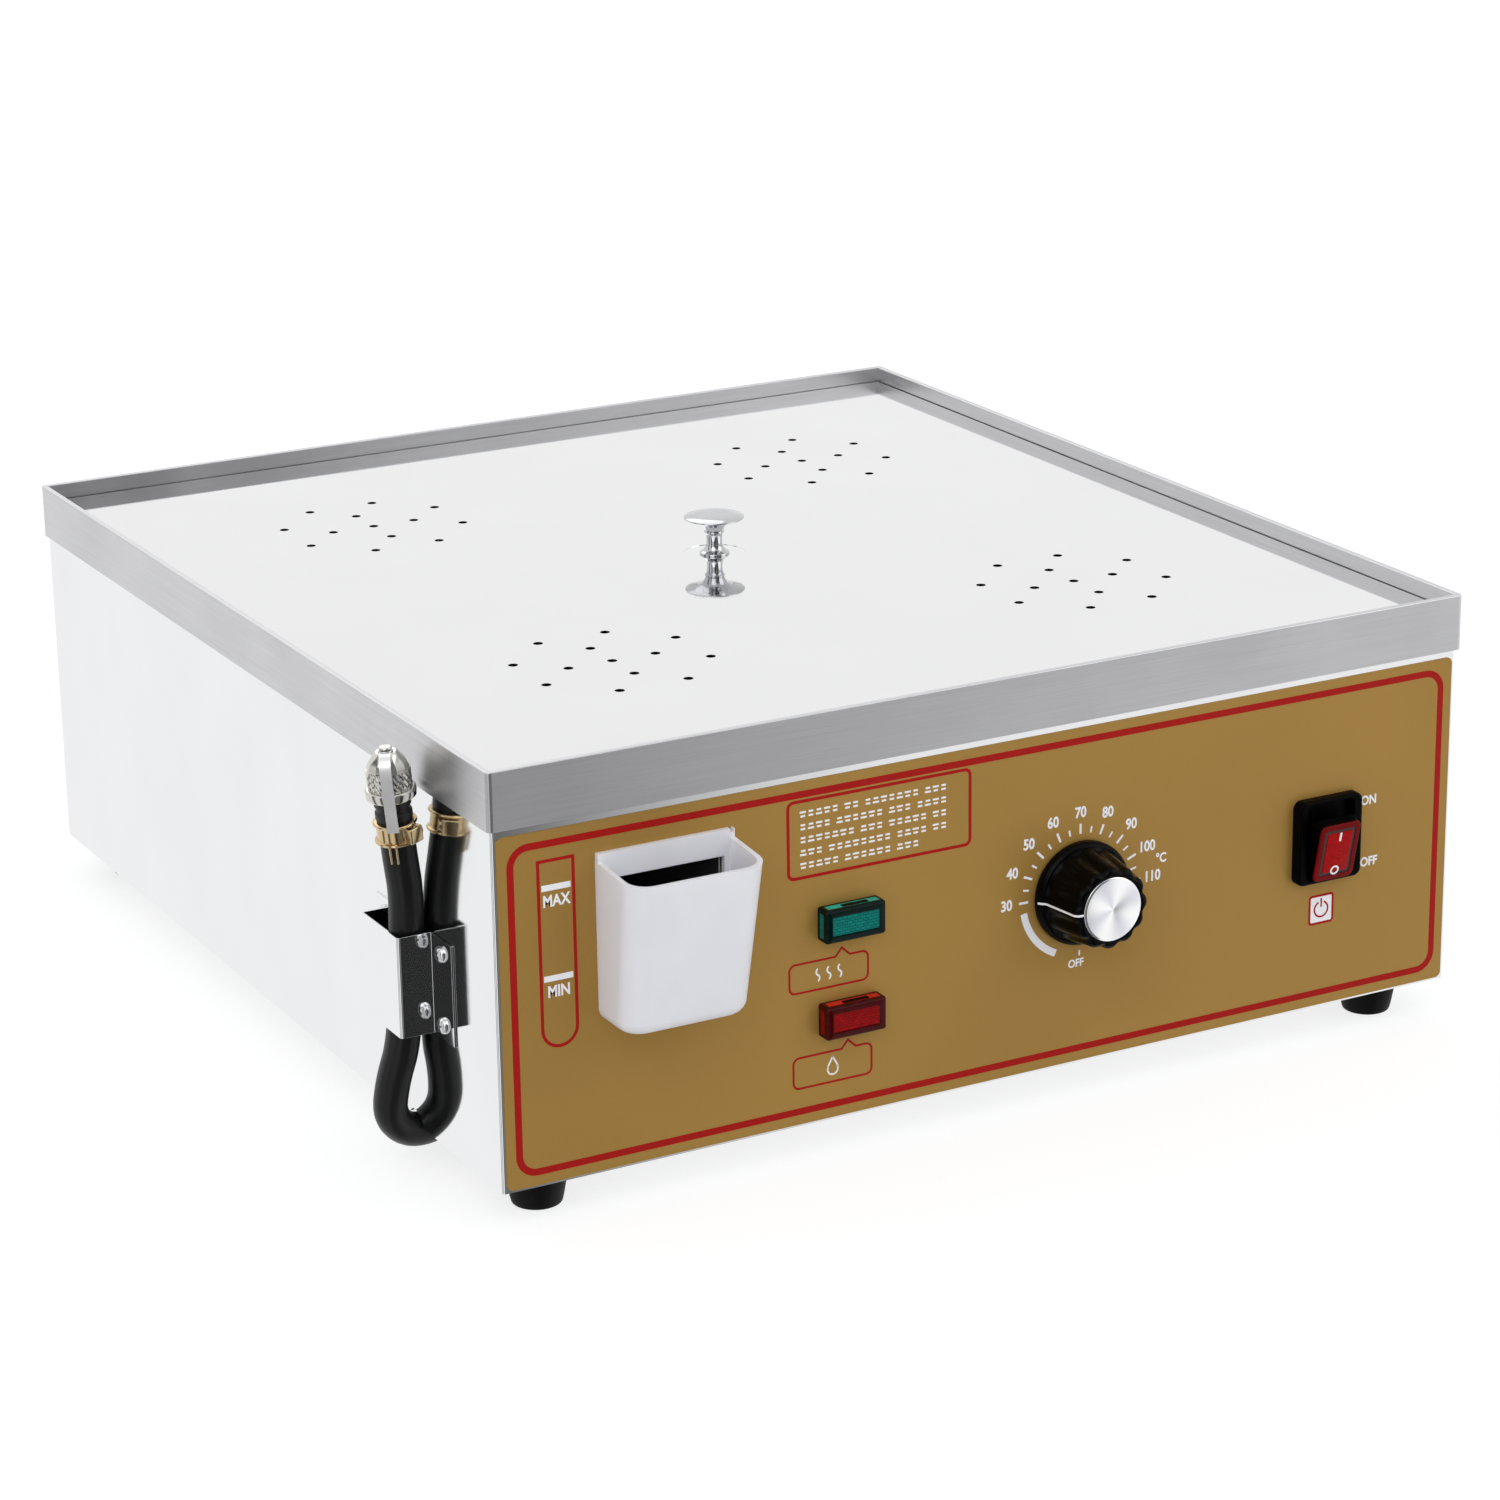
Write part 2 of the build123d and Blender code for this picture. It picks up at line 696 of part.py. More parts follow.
floor_share = box_floor_t / (box_rim_z - box_bottom_z)
floor_w = box_foot_w + floor_share * box_taper
floor_depth = box_depth_low + floor_share * (box_depth - box_depth_low)
with BuildPart() as fill_box:
    loft([box_outline(box_bottom_z, box_foot_w, box_depth_low, box_corner_r),
          box_outline(box_rim_z, box_w, box_depth, box_corner_r)], ruled=True)
    foot_edges = fill_box.faces().sort_by(Axis.Z)[0].edges()
    fillet(foot_edges.sort_by(Axis.Y)[:-1], box_floor_r)
    loft([box_outline(box_bottom_z + box_floor_t, floor_w, floor_depth, box_corner_r,
                      box_wall, box_back_t),
          box_outline(box_rim_z, box_w, box_depth, box_corner_r, box_wall, box_back_t)],
         ruled=True, mode=Mode.SUBTRACT)
    with BuildSketch(film_plane):
        with Locations((box_x, (box_rim_z + box_back_z) / 2)):
            Rectangle(box_w - slip, box_back_z - box_rim_z + box_wall)
    extrude(amount=box_back_t)
    with BuildSketch(film_plane):
        with Locations(window_place):
            Rectangle(window_w, window_h)
    extrude(amount=2 * box_back_t, mode=Mode.SUBTRACT)
    with Locations(*[on(film_plane, x, z, box_back_t / 2) for x, z in stud_places]):
        Cylinder(stud_r, film_t + sheet + gasket_t + duct_sheet + 5 * stud_r / 2
                 + box_back_t / 2, align=LOW)
save(fill_box, "fill_box")

# Gasket, duct and nuts behind the box's window
gasket_w = window_w + 2 * duct_flange
gasket_h = window_h + 2 * duct_flange
with BuildPart() as duct_gasket:
    with BuildSketch(inside_plane):
        with Locations(window_place):
            ring(gasket_w, gasket_h, window_w, window_h)
        with Locations(*stud_places):
            Circle(stud_r + screw_clear, mode=Mode.SUBTRACT)
    extrude(amount=-gasket_t)
save(duct_gasket, "duct_gasket")

duct_plane = inside_plane.offset(-gasket_t)
duct_l = control_bay - gasket_t - tank_sheet
with BuildPart() as fill_duct:
    with BuildSketch(duct_plane):
        with Locations(window_place):
            ring(window_w + 2 * duct_sheet, window_h + 2 * duct_sheet, window_w, window_h)
    extrude(amount=-duct_l)
    with BuildSketch(duct_plane):
        with Locations(window_place):
            ring(gasket_w, gasket_h, window_w, window_h)
        with Locations(*stud_places):
            Circle(stud_r + screw_clear, mode=Mode.SUBTRACT)
    extrude(amount=-duct_sheet)
save(fill_duct, "fill_duct")

nut_plane = duct_plane.offset(-duct_sheet)
inward = Location((0, 0, 0), (180, 0, 0))
fill_box_nuts = hex_nuts([on(nut_plane, x, z) * inward for x, z in stud_places],
                         3.5 * stud_r, 1.6 * stud_r, stud_r + running_fit)
save(fill_box_nuts, "fill_box_nuts")

# Pilot lamps: a bevelled lens in front, a clipped body with two blades behind
for lamp, (x, z) in lamp_places.items():
    with BuildPart() as lens:
        with BuildSketch(film_plane):
            with Locations((x, z)):
                RectangleRounded(lens_w, lens_h, lens_bevel)
        extrude(amount=lens_t)
        chamfer(lens.faces().sort_by(Axis.Y)[0].edges(), lens_bevel)
    save(lens, f"{lamp}_lamp_lens")
    with BuildPart() as lamp_body:
        with BuildSketch(film_plane):
            with Locations((x, z)):
                Rectangle(lamp_body_w, lamp_body_h)
        extrude(amount=-lamp_body_depth)
        with BuildSketch(inside_plane.offset(-slip)):
            with Locations((x, z)):
                Rectangle(lamp_body_w + 2 * lamp_clip, lamp_body_h)
        extrude(amount=-2 * sheet)
        with BuildSketch(film_plane.offset(-lamp_body_depth)):
            with Locations((x - lamp_body_w / 4, z), (x + lamp_body_w / 4, z)):
                Rectangle(lamp_blade_w, blade_t)
        extrude(amount=-lamp_blade_l)
    save(lamp_body, f"{lamp}_lamp_body")

# Capillary thermostat screwed behind the front
with BuildPart() as thermostat_body:
    with BuildSketch(inside_plane):
        with Locations(dial_place):
            RectangleRounded(thermostat_w, thermostat_h, 3.0)
    extrude(amount=-thermostat_depth)
    with BuildSketch(inside_plane):
        with Locations(dial_place):
            Circle(bush_r)
    extrude(amount=sheet + film_t)
    with BuildSketch(film_plane):
        with Locations(dial_place):
            Circle(shaft_r + running_fit)
        with Locations(*dial_screw_places):
            Circle(stud_r + running_fit)
    extrude(amount=-thermostat_depth / 2, mode=Mode.SUBTRACT)
    with BuildSketch(inside_plane.offset(-thermostat_depth)):
        with Locations(dial_place):
            with GridLocations(thermostat_blade_pitch, 1.0, 3, 1):
                Rectangle(blade_w, blade_t)
    extrude(amount=-blade_l)
save(thermostat_body, "thermostat_body")

thermostat_screws = pan_screws([on(film_plane, *place) for place in dial_screw_places],
                               stud_r, thermostat_depth / 4)
save(thermostat_screws, "thermostat_screws")

# Thermostat shaft with a flat for the knob
shaft_out = 0.7 * knob_reach
shaft_in = thermostat_depth / 4
shaft_plane = film_plane.offset(-shaft_in)
with BuildPart() as thermostat_shaft:
    with BuildSketch(shaft_plane):
        with Locations(dial_place):
            Circle(shaft_r)
    extrude(amount=shaft_in + shaft_out)
    with BuildSketch(film_plane.offset(knob_hollow_depth + knob_lift)):
        with Locations((dial_x, dial_z + shaft_r - shaft_flat / 2)):
            Rectangle(2 * shaft_r, shaft_flat)
    extrude(amount=shaft_out, mode=Mode.SUBTRACT)
save(thermostat_shaft, "thermostat_shaft")

# Control knob: a skirt, a tapered grip with scallops and a recessed front disc
dial_origin = (mid_x + dial_x, film_y, dial_z)
knob_profile = Plane(origin=dial_origin, x_dir=(1, 0, 0), z_dir=(0, 0, -1))
knob_axis = Axis(dial_origin, (0, -1, 0))
skirt_top = knob_lift + skirt_t
with BuildPart() as control_knob:
    with BuildSketch(knob_profile):
        with BuildLine():
            Polyline((0, knob_lift), (skirt_r, knob_lift), (skirt_r, 0.7 * skirt_top),
                     (skirt_r - 0.3 * skirt_t, skirt_top), (grip_foot_r, skirt_top),
                     (grip_r, knob_reach - disc_t), (grip_r - disc_t, knob_reach),
                     (0, knob_reach), (0, knob_lift))
        make_face()
    revolve(axis=knob_axis)
    with BuildSketch(film_plane.offset(skirt_top)):
        with Locations(dial_place):
            with PolarLocations(grip_r + flute_r - flute_depth, flute_count):
                Circle(flute_r)
    extrude(amount=knob_reach, mode=Mode.SUBTRACT)
    with BuildSketch(film_plane.offset(knob_lift)):
        with Locations(dial_place):
            Circle(knob_hollow_r)
    extrude(amount=knob_hollow_depth, mode=Mode.SUBTRACT)
    with BuildSketch(film_plane.offset(knob_reach - disc_t)):
        with Locations(dial_place):
            Circle(disc_r + touch)
    extrude(amount=disc_t, mode=Mode.SUBTRACT)
    with BuildSketch(film_plane.offset(knob_hollow_depth + knob_lift)):
        with Locations(dial_place):
            Circle(shaft_r)
        with Locations((dial_x, dial_z + shaft_r - shaft_flat / 2)):
            Rectangle(2 * shaft_r, shaft_flat, mode=Mode.SUBTRACT)
    extrude(amount=shaft_out - knob_hollow_depth - knob_lift, mode=Mode.SUBTRACT)
save(control_knob, "control_knob")

disc_back = knob_reach - disc_t
with BuildPart() as knob_disc:
    with BuildSketch(knob_profile):
        with BuildLine():
            Polyline((0, disc_back), (disc_r, disc_back), (disc_r, knob_reach),
                     (0, knob_reach + disc_t / 3), (0, disc_back))
        make_face()
    revolve(axis=knob_axis)
save(knob_disc, "knob_disc")

# Bulb and capillary, from the thermostat through the tank's front wall
capillary_points = [
    (mid_x + bulb_place[0], inside_y + thermostat_depth, bulb_z),
    (mid_x + bulb_place[0], mouth_front + bulb_off, bulb_z),
    (mid_x + bulb_place[0] + 2 * bulb_off, mouth_front + bulb_off, bulb_z),
]
with BuildPart() as thermostat_bulb:
    with BuildLine() as capillary:
        FilletPolyline(*capillary_points, radius=0.8 * bulb_off)
    with BuildSketch(Plane(origin=capillary_points[0], z_dir=(0, 1, 0))):
        Circle(capillary_r)
    sweep()
    with BuildSketch(Plane(origin=capillary_points[-1], z_dir=(1, 0, 0))):
        Circle(bulb_r)
    extrude(amount=bulb_l)
    with BuildSketch(tank_plane):
        with Locations(bulb_place):
            RegularPolygon(2.5 * bulb_r, 6)
    extrude(amount=2 * bulb_r)
    with BuildSketch(tank_plane):
        with Locations(bulb_place):
            Circle(bulb_r)
    extrude(amount=-tank_sheet - bulb_r)
save(thermostat_bulb, "thermostat_bulb")

# Rocker switch: a deep bezel in front, a hollow body with three blades behind
well_side = switch_body_h - 2 * switch_wall
pivot_plane = front_plane.offset(-pivot_depth)
with BuildPart() as switch_housing:
    with BuildSketch(film_plane):
        with Locations(switch_place):
            RectangleRounded(bezel_w, bezel_h, bezel_corner_r)
    extrude(amount=bezel_t)
    fillet(switch_housing.faces().sort_by(Axis.Y)[0].edges(), 0.3 * bezel_t)
    with BuildSketch(film_plane.offset(bezel_floor)):
        with Locations(switch_place):
            RectangleRounded(well_w, well_h, bezel_corner_r / 2)
    extrude(amount=bezel_t, mode=Mode.SUBTRACT)
    with BuildSketch(film_plane.offset(bezel_floor / 2)):
        with Locations(switch_place):
            Rectangle(switch_body_w, switch_body_h)
    extrude(amount=-switch_body_depth)
    with BuildSketch(film_plane.offset(bezel_floor)):
        with Locations(switch_place):
            Rectangle(switch_body_w - 2 * switch_wall, well_side)
    extrude(amount=-switch_body_depth + 3 * switch_wall, mode=Mode.SUBTRACT)
    with BuildSketch(film_plane.offset(bezel_floor / 2 - switch_body_depth)):
        with Locations(switch_place):
            with GridLocations(1.0, blade_pitch, 1, 3):
                Rectangle(blade_w, blade_t)
    extrude(amount=-blade_l)
    with Locations((mid_x + switch_x, front_y + pivot_depth, switch_z)):
        Cylinder(pin_r + running_fit, switch_body_w - switch_wall, rotation=(0, 90, 0),
                 mode=Mode.SUBTRACT)
save(switch_housing, "switch_housing")

# Rocker, its boot and its lit window, all leaning to OFF about the pivot
tilt = radians(rocker_tilt)
rocker_plane = Plane(origin=(mid_x + switch_x, front_y + pivot_depth, switch_z),
                     x_dir=(1, 0, 0), z_dir=(0, -cos(tilt), -sin(tilt)))
boot_w = 2 * (rocker_half_w + boot_lip)
boot_h = 2 * (rocker_half_h + boot_lip / 2)
stem_w = switch_body_w - 2 * switch_wall - 2 * slip
with BuildPart() as switch_rocker:
    with BuildSketch(rocker_plane.offset(-pin_r)):
        Rectangle(stem_w, 5 * pin_r)
    extrude(amount=rocker_reach - boot_depth + boot_lip + pin_r)
    with BuildSketch(rocker_plane.offset(rocker_reach - boot_depth + boot_lip)):
        RectangleRounded(2 * rocker_half_w, 2 * rocker_half_h, boot_lip)
    extrude(amount=boot_depth - boot_lip - window_t)
    with Locations(rocker_plane):
        Cylinder(pin_r, switch_body_w - switch_wall - 2 * touch, rotation=(0, 90, 0))
save(switch_rocker, "switch_rocker")

with BuildPart() as switch_boot:
    with BuildSketch(rocker_plane.offset(rocker_reach - boot_depth)):
        RectangleRounded(boot_w + boot_flare, boot_h + boot_flare, 2 * boot_lip)
    with BuildSketch(rocker_plane.offset(rocker_reach)):
        RectangleRounded(boot_w, boot_h, 2 * boot_lip)
    loft(ruled=True)
    with BuildSketch(rocker_plane.offset(rocker_reach - boot_depth + boot_lip)):
        RectangleRounded(2 * rocker_half_w, 2 * rocker_half_h, boot_lip)
    extrude(amount=boot_depth, mode=Mode.SUBTRACT)
    with BuildSketch(rocker_plane.offset(rocker_reach - boot_depth)):
        Rectangle(stem_w, 5 * pin_r)
    extrude(amount=boot_depth, mode=Mode.SUBTRACT)
save(switch_boot, "switch_boot")

with BuildPart() as switch_window:
    with BuildSketch(rocker_plane.offset(rocker_reach - window_t)):
        RectangleRounded(2 * rocker_half_w, 2 * rocker_half_h, boot_lip)
    extrude(amount=window_t)
save(switch_window, "switch_window")

# Tubular heater that winds once over the tank floor
heater_ys = (mid_y + heater_front, mid_y + heater_back)
leg_y = tank_front - heater_stub
heater_points = [(mid_x + heater_xs[0], leg_y, heater_z)]
for turn, (x_a, x_b) in enumerate(zip(heater_xs, heater_xs[1:])):
    bend_y = heater_ys[(turn + 1) % 2]
    heater_points += [(mid_x + x_a, bend_y, heater_z), (mid_x + x_b, bend_y, heater_z)]
heater_points.append((mid_x + heater_xs[-1], leg_y, heater_z))
with BuildPart() as heater_element:
    with BuildLine():
        FilletPolyline(*heater_points, radius=heater_bend_r)
    with BuildSketch(Plane(origin=heater_points[0], z_dir=(0, 1, 0))):
        Circle(heater_r)
    sweep()
    with BuildSketch(tank_plane.offset(heater_stub)):
        with Locations(*leg_places):
            Circle(heater_r / 3)
    extrude(amount=heater_pin_l)
save(heater_element, "heater_element")

heater_nuts = hex_nuts([on(tank_plane, *place) for place in leg_places],
                       heater_nut_w, heater_nut_h, heater_r + running_fit)
save(heater_nuts, "heater_nuts")

bracket_w = 3 * heater_pitch + 8 * heater_r
bracket_h = heater_z - tank_floor_z - tank_sheet
with BuildPart() as heater_bracket:
    middle_x = mid_x + (heater_xs[0] + heater_xs[-1]) / 2
    with BuildSketch(Plane(origin=(middle_x, mid_y, tank_floor_z + tank_sheet),
                           x_dir=(1, 0, 0), z_dir=(0, -1, 0))):
        with Locations((0, bracket_h / 2)):
            Rectangle(bracket_w, bracket_h)
        with Locations((0, bracket_h)):
            with GridLocations(heater_pitch, 1.0, 4, 1):
                Circle(heater_r + running_fit, mode=Mode.SUBTRACT)
    extrude(amount=2 * sheet)
    with Locations((middle_x, mid_y, tank_floor_z + tank_sheet)):
        Box(bracket_w, flange_h, sheet, align=(Align.CENTER, Align.MIN, Align.MIN))
save(heater_bracket, "heater_bracket")

# Low-water float on its stem
float_high_z = float_low_z + float_h + float_travel
with BuildPart() as float_stem:
    with BuildSketch(Plane.XY.offset(tank_floor_z - stem_foot)):
        with Locations((mid_x + float_x, mid_y + float_y)):
            Circle(stem_r)
    extrude(amount=float_high_z + stem_r - tank_floor_z + stem_foot)
    for stop_z, rise in ((tank_floor_z + tank_sheet, stem_r / 2), (float_low_z, -stem_r / 2),
                         (float_high_z, stem_r / 2)):
        with BuildSketch(Plane.XY.offset(stop_z)):
            with Locations((mid_x + float_x, mid_y + float_y)):
                Circle(2 * stem_r)
        extrude(amount=rise)
save(float_stem, "float_stem")

with BuildPart() as float_ring:
    with BuildSketch(Plane.XY.offset(float_low_z)):
        with Locations((mid_x + float_x, mid_y + float_y)):
            Circle(float_r)
            Circle(stem_r + running_fit, mode=Mode.SUBTRACT)
    extrude(amount=float_h)
    fillet(float_ring.edges().filter_by(GeomType.CIRCLE).sort_by(SortBy.RADIUS)[-2:], 1.5)
save(float_ring, "float_ring")

below_tank = Plane(origin=(mid_x + float_x, mid_y + float_y, tank_floor_z), z_dir=(0, 0, -1))
float_nut = hex_nuts([below_tank.location], float_nut_w, float_nut_h, stem_r + running_fit)
save(float_nut, "float_nut")

# Terminal block on the tray and the bundle of wires to the controls
tray_floor = base_z + sheet
block_y = rear_y - block_inset
with BuildPart() as terminal_block:
    with Locations((mid_x + earth_x, block_y, tray_floor)):
        Box(block_w, block_d, block_h, align=HIGH)
    with Locations((mid_x + earth_x, block_y, tray_floor + block_h)):
        Box(block_w, block_d / 3, block_h / 3, align=LOW, mode=Mode.SUBTRACT)
        with GridLocations(block_post_pitch, 1.0, 4, 1):
            Cylinder(block_post_r, block_h / 3, align=LOW)
save(terminal_block, "terminal_block")

loom_z = tray_floor + loom_r + touch
loom_x = mid_x + switch_x - loom_side
loom_y = tank_front - loom_bay
block_front = block_y - block_d / 2
loom_points = [
    (mid_x + earth_x, block_front, loom_z),
    (mid_x + earth_x, block_front - loom_run, loom_z),
    (loom_x, block_front - 2 * loom_run, loom_z),
    (loom_x, loom_y, loom_z),
    (loom_x, loom_y, switch_z - switch_body_h),
]
with BuildPart() as wiring_loom:
    with BuildLine():
        FilletPolyline(*loom_points, radius=4 * loom_r)
    with BuildSketch(Plane(origin=loom_points[0], z_dir=(0, -1, 0))):
        Circle(loom_r)
    sweep()
save(wiring_loom, "wiring_loom")

# Cable gland with its locknut, and the earth stud, on the rear cover
with BuildPart() as cable_gland:
    with BuildSketch(rear_plane):
        with Locations(gland_place):
            RegularPolygon(gland_hex / 2, 6, major_radius=False)
    extrude(amount=gland_flange)
    with BuildSketch(rear_plane):
        with Locations(gland_place):
            Circle(gland_thread_r + 1.5)
    extrude(amount=gland_reach)
    fillet(cable_gland.faces().sort_by(Axis.Y)[-1].edges(), 3.0)
    with BuildSketch(rear_plane):
        with Locations(gland_place):
            Circle(gland_thread_r)
    extrude(amount=-2 * gland_flange)
    with BuildSketch(rear_plane.offset(gland_reach)):
        with Locations(gland_place):
            Circle(gland_bore_r)
    extrude(amount=-gland_reach - 2 * gland_flange, mode=Mode.SUBTRACT)
save(cable_gland, "cable_gland")

behind_cover = rear_plane.offset(-sheet)
gland_locknut = hex_nuts([on(behind_cover, *gland_place) * Location((0, 0, 0), (180, 0, 0))],
                         gland_hex, gland_flange, gland_thread_r + running_fit)
save(gland_locknut, "gland_locknut")

with BuildPart() as earth_stud:
    with BuildSketch(behind_cover):
        with Locations(earth_place):
            Circle(earth_shank_r)
    extrude(amount=sheet + earth_shank_l)
    with BuildSketch(rear_plane.offset(earth_shank_l)):
        with Locations(earth_place):
            Circle(earth_r - earth_groove)
    extrude(amount=earth_groove)
    with BuildSketch(rear_plane.offset(earth_shank_l + earth_groove)):
        with Locations(earth_place):
            Circle(earth_r)
    extrude(amount=earth_thread_l)
    with BuildSketch(behind_cover):
        with Locations(earth_place):
            RegularPolygon(earth_nut_w / 2, 6, major_radius=False)
    extrude(amount=-earth_head_h)
save(earth_stud, "earth_stud")

earth_nut = hex_nuts([on(rear_plane, *earth_place)], earth_nut_w, earth_nut_h,
                     earth_shank_r + running_fit)
save(earth_nut, "earth_nut")

# Drain elbow under the tank, with a barb for the hose
elbow_top = Plane(origin=(*drain_place, tank_floor_z), z_dir=(0, 0, -1))
hose_plane = Plane(origin=route[0], z_dir=first_run)
pipe_bore = drain_pipe_r - 2 * tank_sheet
with BuildPart() as drain_elbow:
    with BuildLine():
        FilletPolyline(elbow_top.origin, drain_turn, route[0], radius=1.3 * drain_pipe_r)
    with BuildSketch(elbow_top):
        Circle(drain_pipe_r)
        Circle(pipe_bore, mode=Mode.SUBTRACT)
    sweep()
    with BuildSketch(elbow_top):
        Circle(2 * drain_pipe_r)
        Circle(pipe_bore, mode=Mode.SUBTRACT)
    extrude(amount=2 * sheet)
    with BuildSketch(hose_plane):
        Circle(drain_pipe_r)
        Circle(barb_r - tank_sheet, mode=Mode.SUBTRACT)
    extrude(amount=-2 * sheet)
    with BuildSketch(hose_plane):
        Circle(barb_r - touch)
        Circle(barb_r - tank_sheet, mode=Mode.SUBTRACT)
    extrude(amount=barb_l)
save(drain_elbow, "drain_elbow")

# Drain hose: straight runs joined by tangent arcs
with BuildPart() as drain_hose:
    with BuildLine() as hose_line:
        FilletPolyline(*route, radius=hose_radii)
    with BuildSketch(hose_plane):
        Circle(hose_od / 2)
        Circle(hose_bore / 2, mode=Mode.SUBTRACT)
    sweep()
hose_length = sum(edge.length for edge in hose_line.edges())
hose_section = pi * (hose_od ** 2 - hose_bore ** 2) / 4
print("hose length", round(hose_length, 1), "bends", [round(r, 1) for r in hose_radii],
      "volume", round(drain_hose.part.volume), "of", round(hose_section * hose_length))
save(drain_hose, "drain_hose")

# Hat-section clip that holds the hose to the left wall
clip_mid = clip_front + clip_w / 2
with BuildPart() as hose_clip:
    with BuildSketch(Plane.XY.offset(clip_z - clip_h / 2)):
        with Locations((left_x - clip_reach / 2, mid_y + clip_mid)):
            Rectangle(clip_reach, clip_w)
        with Locations((left_x - clip_sheet / 2, mid_y + clip_mid)):
            Rectangle(clip_sheet, clip_w + 2 * clip_flange)
        with Locations((left_x - (clip_reach - clip_sheet) / 2, mid_y + clip_mid)):
            Rectangle(clip_reach - clip_sheet, clip_w - 2 * clip_sheet, mode=Mode.SUBTRACT)
    extrude(amount=clip_h)
    fillet(hose_clip.edges().filter_by(Axis.Z).group_by(Axis.X)[0], clip_bend_r)
    with BuildSketch(left_plane):
        with Locations(*clip_screw_places):
            Circle(clip_screw_r + screw_clear)
    extrude(amount=clip_sheet, mode=Mode.SUBTRACT)
save(hose_clip, "hose_clip")

clip_screws = pan_screws([on(left_plane, *place, clip_sheet) for place in clip_screw_places],
                         clip_screw_r, panel_screw_l)
save(clip_screws, "hose_clip_screws")

# Fittings on the hose's free end, along its last run
last_run = (route[-1] - route[-2]).normalized()
end_plane = Plane(origin=route[-1], x_dir=strap_side, z_dir=last_run)
cap_plane = end_plane.offset(neck_h)
with BuildPart() as drain_nipple:
    with BuildSketch(end_plane):
        Circle(neck_r)
    extrude(amount=neck_h)
    with BuildSketch(end_plane.offset(-barb_l)):
        Circle(barb_r - touch)
    extrude(amount=barb_l)
    with BuildSketch(cap_plane):
        Circle(cap_thread_r)
    extrude(amount=cap_thread_l)
save(drain_nipple, "drain_nipple")

# Hose clamp: a band between two wire rings, its screw block and the wire's two ends
clamp_plane = end_plane.offset(-clamp_h - clamp_drop)
band_r = hose_od / 2 + touch + clamp_t
block_mid = (0.6 * band_r, 0.75 * band_r)
with BuildPart() as hose_clamp:
    with BuildSketch(clamp_plane):
        Circle(band_r)
        Circle(band_r - clamp_t, mode=Mode.SUBTRACT)
    extrude(amount=clamp_h)
    for rise in (0.0, clamp_h - 2 * wire_r):
        with BuildSketch(clamp_plane.offset(rise)):
            Circle(band_r + 2 * wire_r)
            Circle(band_r - clamp_t, mode=Mode.SUBTRACT)
        extrude(amount=2 * wire_r)
    with BuildSketch(clamp_plane.offset(wire_r)):
        with Locations(block_mid):
            Rectangle(clamp_block, clamp_block, rotation=50)
        Circle(band_r - clamp_t, mode=Mode.SUBTRACT)
    extrude(amount=clamp_h - 2 * wire_r)
    with BuildSketch(clamp_plane.offset(wire_r)):
        with PolarLocations(band_r + wire_r, 2, start_angle=-14, angular_range=16):
            Rectangle(wire_r, 2 * wire_r)
    extrude(amount=-clamp_ear)
save(hose_clamp, "hose_clamp")

# Screw cap with a fluted grip, a faceted dome and the pin that its strap turns on
cap_top = cap_skirt_t + cap_grip_h + cap_top_h
with BuildPart() as drain_cap:
    with BuildSketch(cap_plane):
        Circle(cap_skirt_r)
    extrude(amount=cap_skirt_t)
    fillet(drain_cap.edges().filter_by(GeomType.CIRCLE), cap_edge_r)
    with BuildSketch(cap_plane.offset(cap_skirt_t)):
        Circle(cap_grip_r)
        with PolarLocations(cap_grip_r, cap_flutes):
            Circle(cap_flute_r, mode=Mode.SUBTRACT)
    extrude(amount=cap_grip_h)
    with BuildSketch(cap_plane.offset(cap_skirt_t + cap_grip_h)):
        Circle(cap_grip_r - cap_flute_r)
    with BuildSketch(cap_plane.offset(cap_top)):
        Circle(cap_top_r)
    loft()
    with BuildSketch(cap_plane.offset(cap_top)):
        Circle(strap_pin_r)
    extrude(amount=strap_t + 2 * slip)
    with BuildSketch(cap_plane.offset(cap_top + strap_t + 2 * slip)):
        Circle(2 * strap_pin_r)
    extrude(amount=strap_t)
    with BuildSketch(cap_plane):
        Circle(cap_thread_r + running_fit)
    extrude(amount=cap_thread_l + touch, mode=Mode.SUBTRACT)
save(drain_cap, "drain_cap")

# Strap from the cap's pin, round its edge and down to the clamp
strap_in = cap_skirt_r + 2 * slip
strap_foot = neck_h + clamp_drop + 2 * wire_r
with BuildPart() as cap_strap:
    with BuildSketch(cap_plane.offset(cap_top + slip)):
        Circle(strap_w / 2)
        with Locations(((strap_in + strap_t) / 2, 0)):
            Rectangle(strap_in + strap_t, strap_w)
        Circle(strap_pin_r + slip, mode=Mode.SUBTRACT)
    extrude(amount=strap_t)
    with BuildSketch(cap_plane.offset(-strap_foot)):
        with Locations((strap_in + strap_t / 2, 0)):
            Rectangle(strap_t, strap_w)
    extrude(amount=strap_foot + cap_top + slip + strap_t)
    with BuildSketch(cap_plane.offset(-strap_foot)):
        with Locations((strap_in, 0)):
            Rectangle(2 * (strap_in - band_r - 2 * wire_r) - 2 * touch, strap_w)
    extrude(amount=strap_t)
save(cap_strap, "cap_strap")

# Rubber feet, each held by a screw sunk in its underside and a nut in the tray
with BuildPart() as rubber_feet:
    with Locations(*[(x, y, 0) for x, y in foot_places]):
        Cone(foot_low_r, foot_top_r, foot_h, align=HIGH)
        Cylinder(foot_bore_r, foot_bore_h, align=HIGH, mode=Mode.SUBTRACT)
        Cylinder(foot_screw_r + running_fit, foot_h, align=HIGH, mode=Mode.SUBTRACT)
save(rubber_feet, "rubber_feet")

seats = [Plane(origin=(x, y, foot_bore_h), z_dir=(0, 0, -1)).location for x, y in foot_places]
foot_screw_l = foot_h - foot_bore_h + sheet + 2 * foot_nut_h
foot_screws = pan_screws(seats, foot_screw_r, foot_screw_l)
save(foot_screws, "foot_screws")

